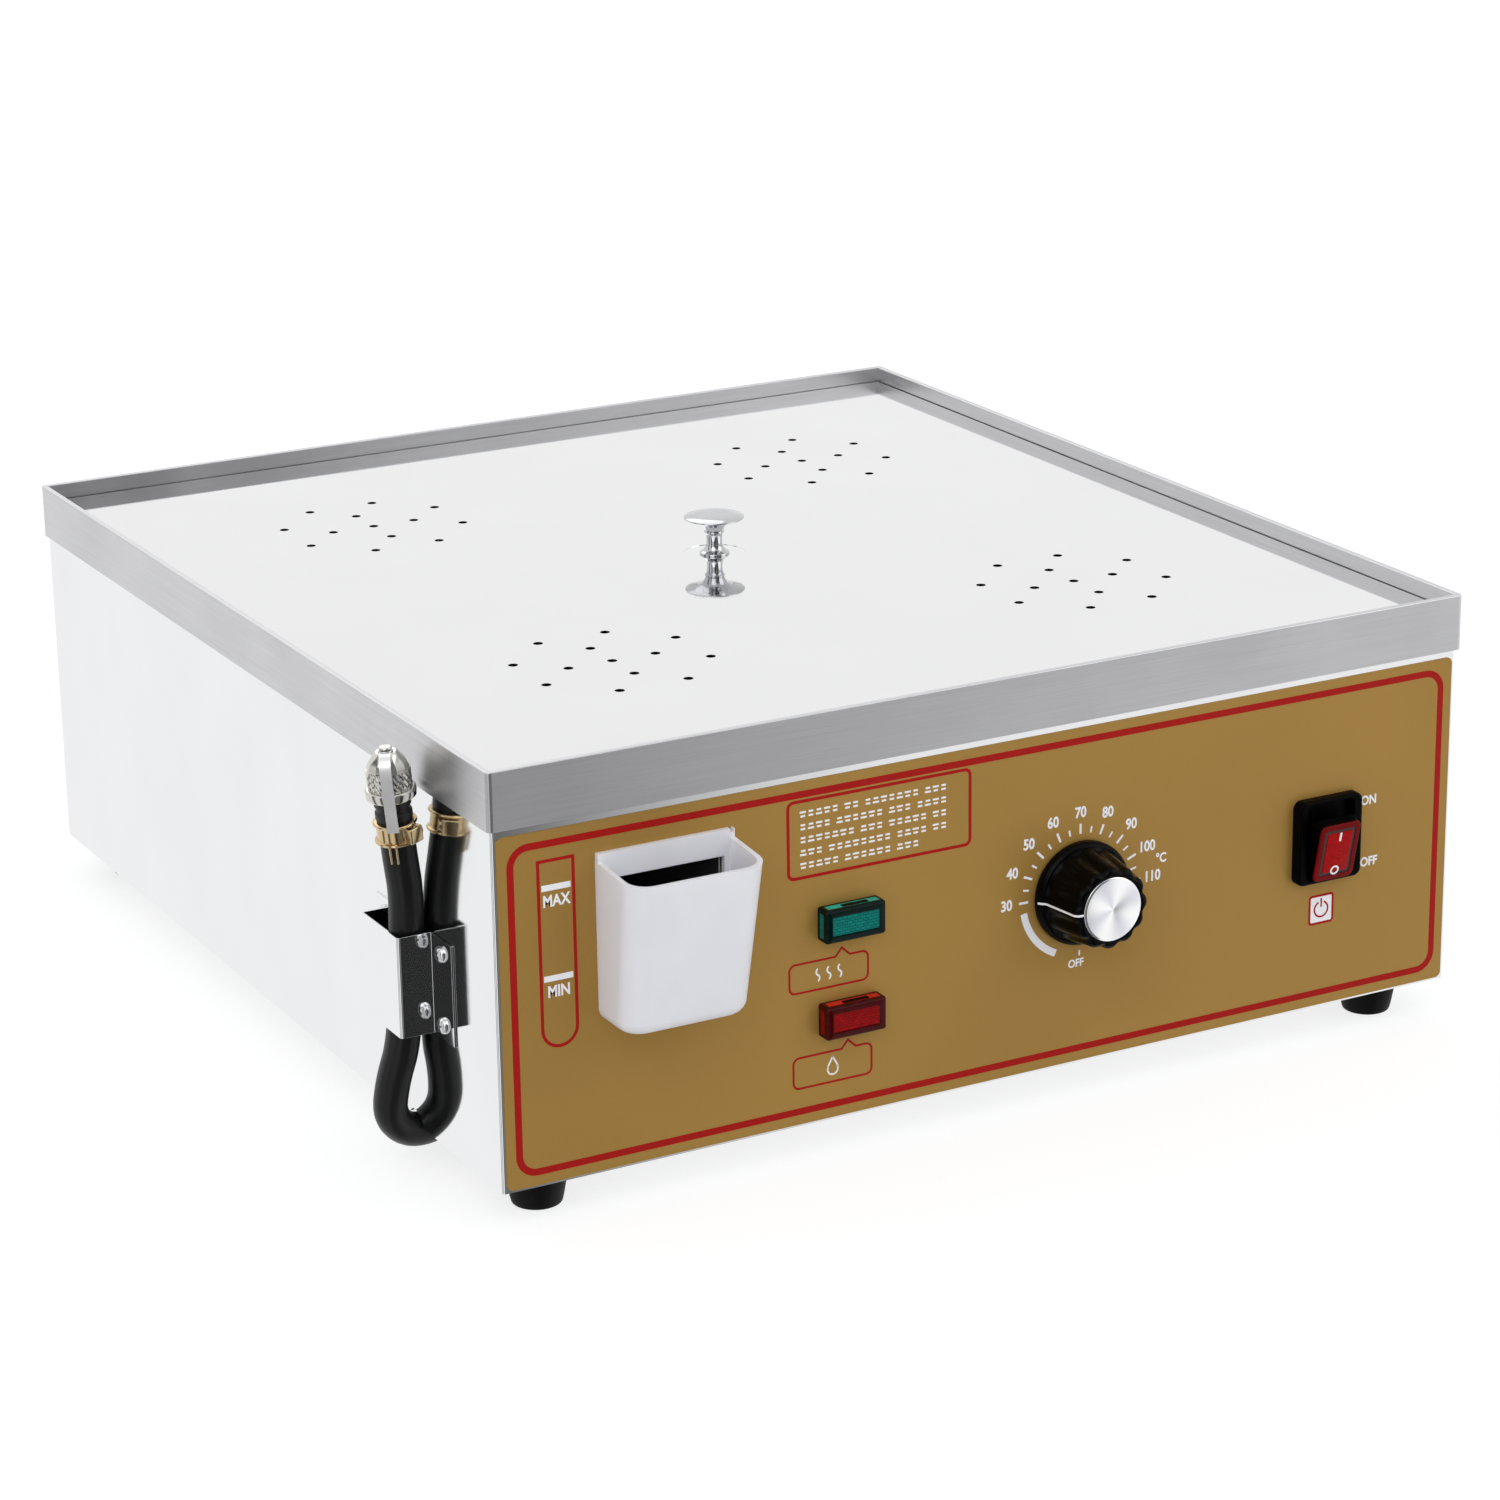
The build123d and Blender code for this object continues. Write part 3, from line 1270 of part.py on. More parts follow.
foot_nuts = hex_nuts([Location((x, y, tray_floor)) for x, y in foot_places],
                     foot_nut_w, foot_nut_h, foot_screw_r + running_fit)
save(foot_nuts, "foot_nuts")

# Screws of the rear cover and of the rim
cover_screws = pan_screws([on(rear_plane, *place) for place in cover_screw_places],
                          panel_screw_r, panel_screw_l)
save(cover_screws, "rear_cover_screws")

rim_back = rear_plane.offset(rim_overhang)
rim_screws = pan_screws([on(rim_back, *place) for place in rim_screw_places],
                        panel_screw_r, panel_screw_l)
save(rim_screws, "rim_screws")
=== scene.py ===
import math

import bmesh
import bpy
from mathutils import Matrix, Vector


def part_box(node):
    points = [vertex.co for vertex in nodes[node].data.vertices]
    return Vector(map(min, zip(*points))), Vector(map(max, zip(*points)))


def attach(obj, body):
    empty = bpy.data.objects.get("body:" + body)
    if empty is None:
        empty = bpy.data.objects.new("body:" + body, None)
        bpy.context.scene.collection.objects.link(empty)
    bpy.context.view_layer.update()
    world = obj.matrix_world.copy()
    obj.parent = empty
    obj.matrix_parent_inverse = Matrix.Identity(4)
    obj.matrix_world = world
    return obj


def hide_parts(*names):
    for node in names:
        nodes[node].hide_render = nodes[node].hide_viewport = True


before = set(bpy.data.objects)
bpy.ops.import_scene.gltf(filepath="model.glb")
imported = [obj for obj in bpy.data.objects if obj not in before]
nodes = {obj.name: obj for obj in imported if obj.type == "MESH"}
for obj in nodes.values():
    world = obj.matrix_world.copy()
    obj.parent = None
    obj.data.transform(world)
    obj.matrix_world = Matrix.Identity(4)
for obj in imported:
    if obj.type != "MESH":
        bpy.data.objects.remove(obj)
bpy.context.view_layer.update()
scene = bpy.context.scene
mm = 0.001
print("frame loaded,", len(nodes), "CAD nodes")

# Places read from the CAD, in millimetres
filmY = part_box("front_overlay")[0].y / mm
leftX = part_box("casing")[0].x / mm
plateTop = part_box("steam_plate")[1].z / mm
rimLow, rimHigh = [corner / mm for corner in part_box("top_rim")]
midX = (rimLow.x + rimHigh.x) / 2
midY = (rimLow.y + rimHigh.y) / 2
# the dial's middle: x from the case's middle and height over the table
dialX, dialY = 41.6, 101.0


def shift(x=0.0, y=0.0, z=0.0, turn=0.0, axis="Z"):
    return Matrix.Translation((x, y, z)) @ Matrix.Rotation(math.radians(turn), 4, axis)


def setAll(thing, **values):  # a thing with several of its settings made
    for key, value in values.items():
        setattr(thing, key, value)
    return thing


def inScene(name, data):
    piece = bpy.data.objects.new(name, data)
    scene.collection.objects.link(piece)
    return piece


# Camera at the photograph's place
view = {
    "place": (-941.0, -1791.45, 777.2),
    "azimuth": -28.26,
    "elevation": 18.47,
    "roll": -0.88,
    "lens": 103.4,
    "sensor": 36.0,
}


def setCamera():
    lens = setAll(bpy.data.cameras.new("photoCamera"), lens=view["lens"],
                  sensor_width=view["sensor"], clip_start=0.05, clip_end=60)
    scene.camera = inScene("photoCamera", lens)
    aimed = shift(turn=view["azimuth"]) @ shift(turn=90 - view["elevation"], axis="X")
    scene.camera.matrix_world = shift(*Vector(view["place"]) * mm) @ aimed @ shift(
        turn=view["roll"])


setCamera()
print("camera set")


# Colours and nodes. A socket knows its tree, so most of these take sockets only
def colour(code, dim=1.0):  # sRGB hex to linear
    parts = [int(code[i:i + 2], 16) / 255 for i in (1, 3, 5)]
    linear = [p / 12.92 if p <= 0.04045 else ((p + 0.055) / 1.055) ** 2.4 for p in parts]
    return [p * dim for p in linear] + [1.0]


def addNode(tree, kind, inputs=None, **settings):  # a node with its settings, values and links
    node = setAll(tree.nodes.new("ShaderNode" + kind), **settings)
    for key, value in (inputs or {}).items():
        if isinstance(value, bpy.types.NodeSocket):
            tree.links.new(value, node.inputs[key])
        else:
            node.inputs[key].default_value = value
    return node


def emptyTree(owner):
    owner.use_nodes = True
    owner.node_tree.nodes.clear()
    return owner.node_tree


def newFinish(name, code, metallic, roughness, **sockets):
    finish = bpy.data.materials.new(name)
    tree = emptyTree(finish)
    values = {"Base Color": colour(code), "Metallic": metallic, "Roughness": roughness}
    values.update({key.replace("_", " "): value for key, value in sockets.items()})
    shader = addNode(tree, "BsdfPrincipled", values)
    addNode(tree, "OutputMaterial", {"Surface": shader.outputs[0]})
    return finish, shader, addNode(tree, "TexCoord").outputs["Object"]


def link(shader, **values):
    for key, value in values.items():
        shader.id_data.links.new(value, shader.inputs[key.replace("_", " ")])


def maths(operation, *values):
    return addNode(values[0].id_data, "Math", dict(enumerate(values)),
                   operation=operation).outputs[0]


def grainOf(spot, sizes, detail=2.0):  # noise whose cells measure sizes, in mm
    sizes = sizes if isinstance(sizes, tuple) else (sizes,) * 3
    stretched = addNode(spot.id_data, "Mapping", {
        "Vector": spot, "Scale": [1 / (size * mm) for size in sizes]}).outputs[0]
    return addNode(spot.id_data, "TexNoise", {
        "Vector": stretched, "Scale": 1.0, "Detail": detail}).outputs[0]


def spread(value, low, high, start=0.3, end=0.7):  # a noise's range brought to low and high
    return addNode(value.id_data, "MapRange", {
        "Value": value, "From Min": start, "From Max": end,
        "To Min": low, "To Max": high}).outputs[0]


def blendColours(factor, first, second):
    return addNode(factor.id_data, "Mix", {0: factor, 6: first, 7: second},
                   data_type="RGBA").outputs[2]


def twoTone(noise, first, second, *span):
    return blendColours(spread(noise, 0, 1, *span), first, second)


def bumpOf(height, depth, under=None):  # depth in mm
    inputs = {"Height": height, "Distance": depth * mm}
    if under:
        inputs["Normal"] = under
    return addNode(height.id_data, "Bump", inputs).outputs[0]


def dress(shader, cloud, code, dim, low, high, normal, *span):  # one noise for tone and gloss
    link(shader, Base_Color=twoTone(cloud, colour(code), colour(code, dim), *span),
         Roughness=spread(cloud, low, high), Normal=normal)


# Finishes: sheet metals
def steelSheet(name, code, roughness, sheen, wave, smear=0.03):
    # rolled sheet: a little dished between its folds, with wiping marks in its gloss
    finish, shader, spot = newFinish(name, code, 1.0, roughness)
    smears = grainOf(spot, (70, 70, 110), 4)
    dishes = bumpOf(grainOf(spot, (230, 230, 180), 1), wave)
    dress(shader, smears, code, 1 - smear, roughness, roughness + sheen, dishes)
    return finish


def brushedSheet(name, code, roughness, along):
    # drawn through an abrasive belt: fine lines along the sheet's length
    finish, shader, spot = newFinish(name, code, 1.0, roughness)
    if along == "round":  # each side of a frame has its lines along itself
        tree = shader.id_data
        facing = addNode(tree, "SeparateXYZ", {
            0: addNode(tree, "NewGeometry").outputs["True Normal"]}).outputs[0]
        grain = addNode(tree, "Mix", {
            0: maths("MULTIPLY", facing, facing), 2: grainOf(spot, (60, 0.5, 0.5)),
            3: grainOf(spot, (0.5, 60, 0.5))}).outputs[0]
    else:
        grain = grainOf(spot, (60, 0.5, 0.5))
    cloud = grainOf(spot, 60, 3)
    link(shader, Base_Color=twoTone(grain, colour(code), colour(code, 0.9)),
         Roughness=spread(cloud, roughness - 0.05, roughness + 0.05),
         Normal=bumpOf(grain, 0.004))
    return finish


def platedMetal(name, code, roughness, mark=0.3):
    # plated or turned metal: bright, with faint tool marks
    finish, shader, spot = newFinish(name, code, 1.0, roughness)
    marks = bumpOf(grainOf(spot, mark, 3), 0.003)
    dress(shader, grainOf(spot, 9, 3), code, 0.88, roughness, roughness + 0.08, marks)
    return finish


# Finishes: plastics and rubbers
def mouldedPlastic(name, code, roughness, pits, depth, gloss=0.5):
    # injection moulded: an even spark-eroded texture and a soft gloss
    finish, shader, spot = newFinish(name, code, 0.0, roughness, IOR=1.49,
                                     Specular_IOR_Level=gloss)
    texture = bumpOf(grainOf(spot, pits), depth)
    dress(shader, grainOf(spot, 18, 3), code, 0.85, roughness - 0.04, roughness + 0.06, texture)
    return finish


def rubberSkin(name, code, roughness, pits, sheen=0.15, gloss=0.5):
    # vulcanised rubber: dull, with a grey bloom where it has been handled
    finish, shader, spot = newFinish(name, code, 0.0, roughness, IOR=1.52, Sheen_Weight=sheen,
                                     Specular_IOR_Level=gloss, Sheen_Roughness=0.5)
    bloom = grainOf(spot, (14, 14, 22), 4)
    skin = bumpOf(grainOf(spot, pits, 3), 0.02)
    dress(shader, bloom, code, 1.7, roughness - 0.06, roughness + 0.08, skin, 0.45, 0.8)
    return finish


def goldFilm():
    # printed polyester over a gold ground: a soft metallic sheen and a fine matt lacquer
    finish, shader, spot = newFinish("goldFilmLacquer", "#9F7A34", 0.25, 0.45,
                                     Specular_IOR_Level=0.3)
    flakes = grainOf(spot, 0.6, 3)
    ground = twoTone(grainOf(spot, 150), colour("#B18942"), colour("#A8813C"))
    link(shader, Base_Color=blendColours(spread(flakes, 0, 0.25), ground, colour("#BF9B55")),
         Roughness=spread(flakes, 0.4, 0.5),
         Normal=bumpOf(flakes, 0.004))
    return finish


def milkyPlastic():
    # natural polypropylene: milky, waxy, light gets a little way into it
    finish, shader, spot = newFinish("milkyPolypropylene", "#F6F6FA", 0.0, 0.42, IOR=1.49,
                                     Subsurface_Weight=0.35, Subsurface_Scale=0.004,
                                     Subsurface_Radius=(1.0, 0.95, 0.9))
    waves = grainOf(spot, (26, 26, 34))
    link(shader, Base_Color=twoTone(waves, colour("#F9F9FD"), colour("#F2F2F7")),
         Roughness=spread(waves, 0.38, 0.48),
         Normal=bumpOf(grainOf(spot, 0.5), 0.01, under=bumpOf(waves, 0.12)))
    return finish


def clearLens(name, code, deep, ribs, gloss=0.15):
    # coloured acrylic: glossy skin over ribs that are moulded on its inner side
    finish, shader, spot = newFinish(name, code, 0.0, 0.08, IOR=1.49, Specular_IOR_Level=gloss)
    turned = addNode(shader.id_data, "Mapping", {
        "Vector": spot, "Rotation": (math.radians(90), 0, 0)}).outputs[0]
    pattern = addNode(shader.id_data, "TexBrick", {
        "Vector": turned, "Color1": colour(code), "Color2": colour(code, 0.7),
        "Mortar": colour(deep), "Scale": 1.0, "Mortar Size": ribs * 0.14 * mm,
        "Mortar Smooth": 0.6, "Brick Width": ribs * 2 * mm, "Row Height": ribs * mm})
    link(shader, Base_Color=pattern.outputs["Color"])
    return finish


def spunAluminium():
    # faced on a lathe: rings a tenth of a millimetre apart, drawn wider here to show, with a
    # painted star-shaped highlight of whiter and greyer sectors round the middle
    ringGap, starHighlightPairs = 0.35, 4.0
    finish, shader, spot = newFinish("spunAluminium", "#F4F4F8", 1.0, 0.22)
    tree = shader.id_data
    middle = Vector((midX + dialX, filmY, dialY)) * mm
    centred = addNode(tree, "VectorMath", {0: spot, 1: middle}, operation="SUBTRACT").outputs[0]
    rings = addNode(tree, "TexWave", {
        "Vector": centred, "Scale": 1 / (ringGap * mm) / 20 * math.pi, "Distortion": 0.3},
        wave_type="RINGS", rings_direction="Y").outputs[0]
    parts = addNode(tree, "SeparateXYZ", {0: centred}).outputs
    angle = maths("ARCTAN2", parts[2], parts[0])
    # painted highlight: sectors by angle, whiter and glossier or greyer and rougher, stand for the
    # spun metal's star-shaped sheen
    facets = spread(maths("SINE", maths("MULTIPLY", angle, starHighlightPairs)), 0, 1, -1, 1)
    link(shader, Base_Color=blendColours(facets, colour("#FFFFFF"), colour("#E6E7EE")),
         Roughness=spread(facets, 0.12, 0.2, 0, 1),
         Normal=bumpOf(rings, 0.006))
    return finish


def printInk(name, code):
    # screen-printed ink: thin, matt, a little uneven in its cover
    finish, shader, spot = newFinish(name, code, 0.0, 0.5, Specular_IOR_Level=0.2)
    cover = grainOf(spot, 1.2, 3)
    link(shader, Base_Color=twoTone(cover, colour(code), colour(code, 0.94)),
         Roughness=spread(cover, 0.44, 0.56))
    return finish


finishes = {
    "polished_steel": steelSheet("polishedStainless", "#ECEDEE", 0.045, 0.04, 0.02),
    "satin_steel": brushedSheet("satinStainless", "#D0D0D2", 0.34, "round"),
    "plate_steel": steelSheet("mirrorStainless", "#E9E9EA", 0.03, 0.03, 0.012, 0.02),
    "tank_steel": brushedSheet("millFinishStainless", "#C9CACC", 0.3, "x"),
    "chrome_knob": platedMetal("brightChrome", "#C4C5C8", 0.03, 0.6),
    "screw_steel": platedMetal("brightScrewSteel", "#E0E1E3", 0.1),
    "gold_film": goldFilm(),
    "white_plastic": milkyPlastic(),
    "knob_black": mouldedPlastic("blackPhenolicGloss", "#020202", 0.2, 0.7, 0.003, 0.07),
    "spun_aluminium": spunAluminium(),
    "lamp_green": clearLens("greenAcrylic", "#011C18", "#011511", 1.1, 0.12),
    "lamp_red": clearLens("redAcrylic", "#4C0305", "#380204", 1.1, 0.12),
    "switch_black": mouldedPlastic("blackNylonSatin", "#020203", 0.36, 0.4, 0.006, 0.04),
    "switch_red": clearLens("redPolycarbonate", "#BC0A0A", "#9C080A", 0.8, 0.07),
    "boot_red": rubberSkin("softClearBoot", "#72080B", 0.32, 1.0, 0.0, 0.06),
    "hose_rubber": rubberSkin("hoseRubber", "#0D0D0E", 0.4, 1.6, 0.02, 0.3),
    "foot_rubber": rubberSkin("footRubber", "#040404", 0.6, 0.9, 0.0, 0.15),
    "nickel": platedMetal("nickelPlate", "#D6D3CD", 0.1),
    "clamp_zinc": platedMetal("yellowZincPlate", "#D0B88E", 0.12),
    "strap_steel": platedMetal("brightSpringStrip", "#F2F2F3", 0.3),
    "heater_steel": platedMetal("heatTintedTube", "#8A7F78", 0.35),
    "brass": platedMetal("turnedBrass", "#D9BE7A", 0.2),
    "gland_black": mouldedPlastic("blackNylon", "#151515", 0.45, 0.5, 0.01),
    "phenolic": mouldedPlastic("darkPhenolic", "#262120", 0.5, 0.4, 0.01),
    "gasket_white": rubberSkin("siliconeSheet", "#D8D8D4", 0.5, 0.8, 0.0),
    "wire_sleeve": rubberSkin("wovenSleeve", "#242424", 0.6, 0.8),
    "copper": platedMetal("nickelledCopper", "#C99878", 0.25),
}
whiteInk = printInk("whiteInk", "#FDFDFF")
redInk = printInk("redInk", "#AE0C04")
print(len(finishes) + 2, "finishes made")


# Mesh helpers, everything in millimetres until it is finished
def chain(bm, spots):  # points joined by edges, one after the other
    points = [bm.verts.new(spot) for spot in spots]
    return points, [bm.edges.new(pair) for pair in zip(points, points[1:])]


def rounded(bm, geom, size, segments, kind="EDGES", clamp=False):
    bmesh.ops.bevel(bm, geom=geom, offset=size, segments=segments, profile=0.5, affect=kind,
                    material=-1, clamp_overlap=clamp)


def moved(bm, x=0.0, y=0.0, z=0.0):
    bmesh.ops.translate(bm, verts=bm.verts, vec=(x, y, z))
    return bm


def newVerts(made):
    return [v for v in made["geom"] if isinstance(v, bmesh.types.BMVert)]


def turned(profile, steps, closed=False, sweep=360):  # (radius, height) points about Z
    bm = bmesh.new()
    points, edges = chain(bm, [(radius, 0, height) for radius, height in profile])
    if closed:
        edges.append(bm.edges.new((points[-1], points[0])))
    bmesh.ops.spin(bm, geom=points + edges, cent=(0, 0, 0), axis=(0, 0, 1),
                   angle=math.radians(sweep), steps=steps, use_merge=sweep == 360)
    bmesh.ops.remove_doubles(bm, verts=bm.verts, dist=0.0005)
    return bm


def softened(profile, rounds, segments=5):  # a profile with some of its corners rounded
    bm = bmesh.new()
    points, _ = chain(bm, [(radius, 0, height) for radius, height in profile])
    for index, size in rounds.items():
        rounded(bm, [points[index]], size, segments, "VERTICES")
    bm.verts.ensure_lookup_table()
    first = Vector((profile[0][0], 0, profile[0][1]))
    here = min(bm.verts, key=lambda v: (v.co - first).length)
    found, last = [here], None
    while True:
        onward = [e.other_vert(here) for e in here.link_edges if e.other_vert(here) is not last]
        if not onward:
            break
        last, here = here, onward[0]
        found.append(here)
    line = [(v.co.x, v.co.z) for v in found]
    bm.free()
    return line


def roundedFace(width, height, radius=0.0, segments=6, corners=None):
    bm = bmesh.new()
    bmesh.ops.create_grid(bm, x_segments=1, y_segments=1, size=0.5)
    bmesh.ops.scale(bm, vec=(width, height, 1), verts=bm.verts)
    if radius:
        chosen = [v for v in bm.verts if corners is None or corners(v.co)]
        rounded(bm, chosen, radius, segments, "VERTICES")
    return bm


def lineOnly(bm, line):  # keeps a border of that width round a flat face
    inner = bm.faces[:]
    bmesh.ops.inset_region(bm, faces=inner, thickness=line, use_even_offset=True,
                           use_boundary=True)
    bmesh.ops.delete(bm, geom=inner, context="FACES")
    return bm


def thickened(bm, height):  # a flat shape made a closed slab up to that height
    made = bmesh.ops.extrude_face_region(bm, geom=bm.faces[:], use_keep_orig=True)
    bmesh.ops.translate(bm, verts=newVerts(made), vec=(0, 0, height))
    return bm


def block(width, depth, height, edge=0.0, segments=3):  # standing on Z = 0
    bm = bmesh.new()
    bmesh.ops.create_cube(bm, size=1)
    moved(bm, z=0.5)
    bmesh.ops.scale(bm, vec=(width, depth, height), verts=bm.verts)
    if edge:
        rounded(bm, bm.edges[:], edge, segments)
    return bm


def easeEdges(bm, size, angle, segments, chosen):  # rounds the sharp edges a little
    edges = [e for e in bm.edges if len(e.link_faces) == 2
             and e.calc_face_angle(0) > math.radians(angle) and chosen(e)]
    rounded(bm, edges, size, segments, clamp=True)


def stacked(levels, segments=4):  # rounded rectangles skinned over each other: wide, tall, r, z
    bm = bmesh.new()
    rings = []
    for width, height, radius, z in levels:
        ring = []
        for corner in range(4):
            middleX = (width / 2 - radius) * (1 if corner in (0, 3) else -1)
            middleY = (height / 2 - radius) * (1 if corner < 2 else -1)
            for step in range(segments + 1):
                angle = math.radians(90 * (corner + step / segments))
                ring.append(bm.verts.new((middleX + radius * math.cos(angle),
                                          middleY + radius * math.sin(angle), z)))
        rings.append(ring)
    for low, high in zip(rings, rings[1:]):
        for index, vert in enumerate(low):
            after = (index + 1) % len(low)
            bm.faces.new((vert, low[after], high[after], high[index]))
    bm.faces.new(rings[0][::-1])
    bm.faces.new(rings[-1])
    return bm


def ribbon(spots, run):  # a line of points drawn out sideways by run
    bm = bmesh.new()
    edges = chain(bm, spots)[1]
    made = bmesh.ops.extrude_edge_only(bm, edges=edges)
    bmesh.ops.translate(bm, vec=run, verts=newVerts(made))
    bmesh.ops.recalc_face_normals(bm, faces=bm.faces)
    return bm


def ringPart(inner, outer, start, sweep, steps):  # a flat ring, or a piece of one
    bm = turned([(inner, 0), (outer, 0)], steps, sweep=sweep)
    bmesh.ops.rotate(bm, verts=bm.verts, matrix=Matrix.Rotation(math.radians(start), 3, "Z"))
    return bm


def joinInto(whole, bm, place=None):
    if place:
        bmesh.ops.transform(bm, matrix=place, verts=bm.verts)
    loose = bpy.data.meshes.new("loose")
    bm.to_mesh(loose)
    bm.free()
    whole.from_mesh(loose)
    bpy.data.meshes.remove(loose)


def asObject(bm, name):
    mesh = bpy.data.meshes.new(name)
    bm.to_mesh(mesh)
    bm.free()
    return inScene(name, mesh)


def fromObject(holder):  # the object's mesh as its modifiers or its curve make it
    bpy.context.view_layer.update()
    made = bpy.data.meshes.new_from_object(
        holder.evaluated_get(bpy.context.evaluated_depsgraph_get()))
    bm = bmesh.new()
    bm.from_mesh(made)
    bpy.data.meshes.remove(made)
    return bm


def carved(bm, *cutters, added=()):  # joins closed shapes to one and takes others out of it
    bmesh.ops.recalc_face_normals(bm, faces=bm.faces)
    holder = asObject(bm, "blank")
    tools = []
    for index, tool in enumerate([*added, *cutters]):
        bmesh.ops.recalc_face_normals(tool, faces=tool.faces)
        tools.append(asObject(tool, "tool%d" % index))
        setAll(holder.modifiers.new("tool%d" % index, "BOOLEAN"), object=tools[-1],
               operation="UNION" if index < len(added) else "DIFFERENCE", solver="EXACT")
    result = fromObject(holder)
    for item in [holder] + tools:
        bpy.data.objects.remove(item)
    return result


def keepFlat(piece):  # the large faces set the normals, so that they mirror like flat sheet
    setAll(piece.modifiers.new("flatFaces", "WEIGHTED_NORMAL"), keep_sharp=True, weight=80)


def finishPiece(bm, name, slot, node=None, place=None, body="cabinet", sharp=35, ink=None,
                extra=(), flat=False):
    # millimetres to metres, normals outwards, smooth but for the sharper edges
    bmesh.ops.remove_doubles(bm, verts=bm.verts, dist=0.0005)
    bmesh.ops.recalc_face_normals(bm, faces=bm.faces)
    full = Matrix.Scale(mm, 4) @ (place or Matrix.Identity(4))
    bmesh.ops.transform(bm, matrix=full, verts=bm.verts)
    for face in bm.faces:
        face.smooth = True
    piece = asObject(bm, name)
    piece.data.set_sharp_from_angle(angle=math.radians(sharp))
    for finish in (ink or finishes[slot], *extra):
        piece.data.materials.append(finish)
    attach(piece, body)
    if node:
        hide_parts(node)
    if flat:
        keepFlat(piece)
    return piece


# Drain hose: its route is the CAD's, from the case's middle
hose = {
    "points": [
        (-208.0, -174.1, 20.2), (-228.0, -174.8, 17.6), (-248.6, -176.6, 12.8),
        (-261.7, -178.9, 23.7), (-260.7, -182.6, 42.5), (-256.0, -186.6, 62.0),
        (-256.1, -191.6, 101.0), (-256.0, -195.9, 133.0), (-259.0, -197.1, 152.0),
        (-261.2, -198.3, 170.5),
    ],
    "outside": 15.4,
    "length": 205.4,
    "strapSide": (-0.47, -0.88, 0.0),
}
hoseLine = [Vector((midX + x, midY + y, z)) for x, y, z in hose["points"]]


def makeHose():
    curve = setAll(bpy.data.curves.new("drainHose", "CURVE"), dimensions="3D",
                   bevel_depth=hose["outside"] / 2 * mm, bevel_resolution=10, use_fill_caps=True)
    spline = curve.splines.new("NURBS")
    spline.points.add(len(hoseLine) - 1)
    for point, spot in zip(spline.points, hoseLine):
        point.co = (*(spot * mm), 1)
    setAll(spline, order_u=3, use_endpoint_u=True, resolution_u=20)
    piece = inScene("drainHose", curve)
    curve.materials.append(finishes["hose_rubber"])
    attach(piece, "cabinet")
    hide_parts("drain_hose")
    return piece


endRun = (hoseLine[-1] - hoseLine[-2]).normalized()
endSide = Vector(hose["strapSide"])
endSide = (endSide - endRun * endSide.dot(endRun)).normalized()
endTurn = Matrix((endSide, endRun.cross(endSide), endRun)).transposed().to_4x4()
endPlace = Matrix.Translation(hoseLine[-1]) @ endTurn

# Fittings on the hose's end, measured along it from the rubber's edge
cap = {
    "neckRadius": 8.1, "neckHeight": 10.0, "bore": 6.2,
    "skirtRadius": 11.1, "skirtHeight": 4.5,
    "gripRadius": 9.7, "gripHeight": 8.5, "ridges": 26, "ridgeDepth": 0.55, "ridgeLead": 3.4,
    "domeHeight": 8.0, "facets": 12, "pinRadius": 1.5,
}
gripLow = cap["neckHeight"] + cap["skirtHeight"]
gripHigh = gripLow + cap["gripHeight"]
domeTop = gripHigh + cap["domeHeight"]


def makeNipple():
    radius, height = cap["neckRadius"], cap["neckHeight"]
    profile = softened([
        (0, -9), (4.8, -9), (4.8, 0), (radius, 0), (radius, 3.2), (radius - 0.8, 3.8),
        (radius - 0.8, 5.6), (radius, 6.2), (radius, height), (0, height)],
        {3: 0.4, 4: 0.3, 7: 0.3}, 3)
    return finishPiece(turned(profile, 64), "drainNipple", "gland_black", "drain_nipple",
                       endPlace)


def makeClamp():
    whole = bmesh.new()
    band = [(7.75, -10.9), (8.9, -10.9), (9.45, -10.6), (9.7, -10.1), (9.45, -9.6), (8.9, -9.35),
            (8.45, -9.1), (8.45, -2.9), (8.9, -2.65), (9.45, -2.4), (9.7, -1.9), (9.45, -1.4),
            (8.9, -1.1), (7.75, -1.1)]
    joinInto(whole, turned(band, 72, closed=True))
    # screw housing, its slotted screw and the two ends of the wire
    joinInto(whole, block(8, 7.6, 7.4, 0.9), shift(5.4, 6.6, -9.7, 50))
    joinInto(whole, turned(softened([(0, 0), (2.6, 0), (2.6, 1.6), (0, 1.6)], {2: 0.5}), 24),
             shift(5.4, 6.6, -6.0, 50) @ shift(0, 3.7, 0, -90, "X"))
    for angle in (-16, 1):
        wire = bmesh.new()
        bmesh.ops.create_cone(wire, cap_ends=True, segments=12, radius1=0.5, radius2=0.55, depth=9)
        joinInto(whole, wire, shift(turn=angle) @ shift(9.6, 0, -13.6, 3, "Y"))
    return finishPiece(whole, "hoseClamp", "clamp_zinc", "hose_clamp", endPlace)


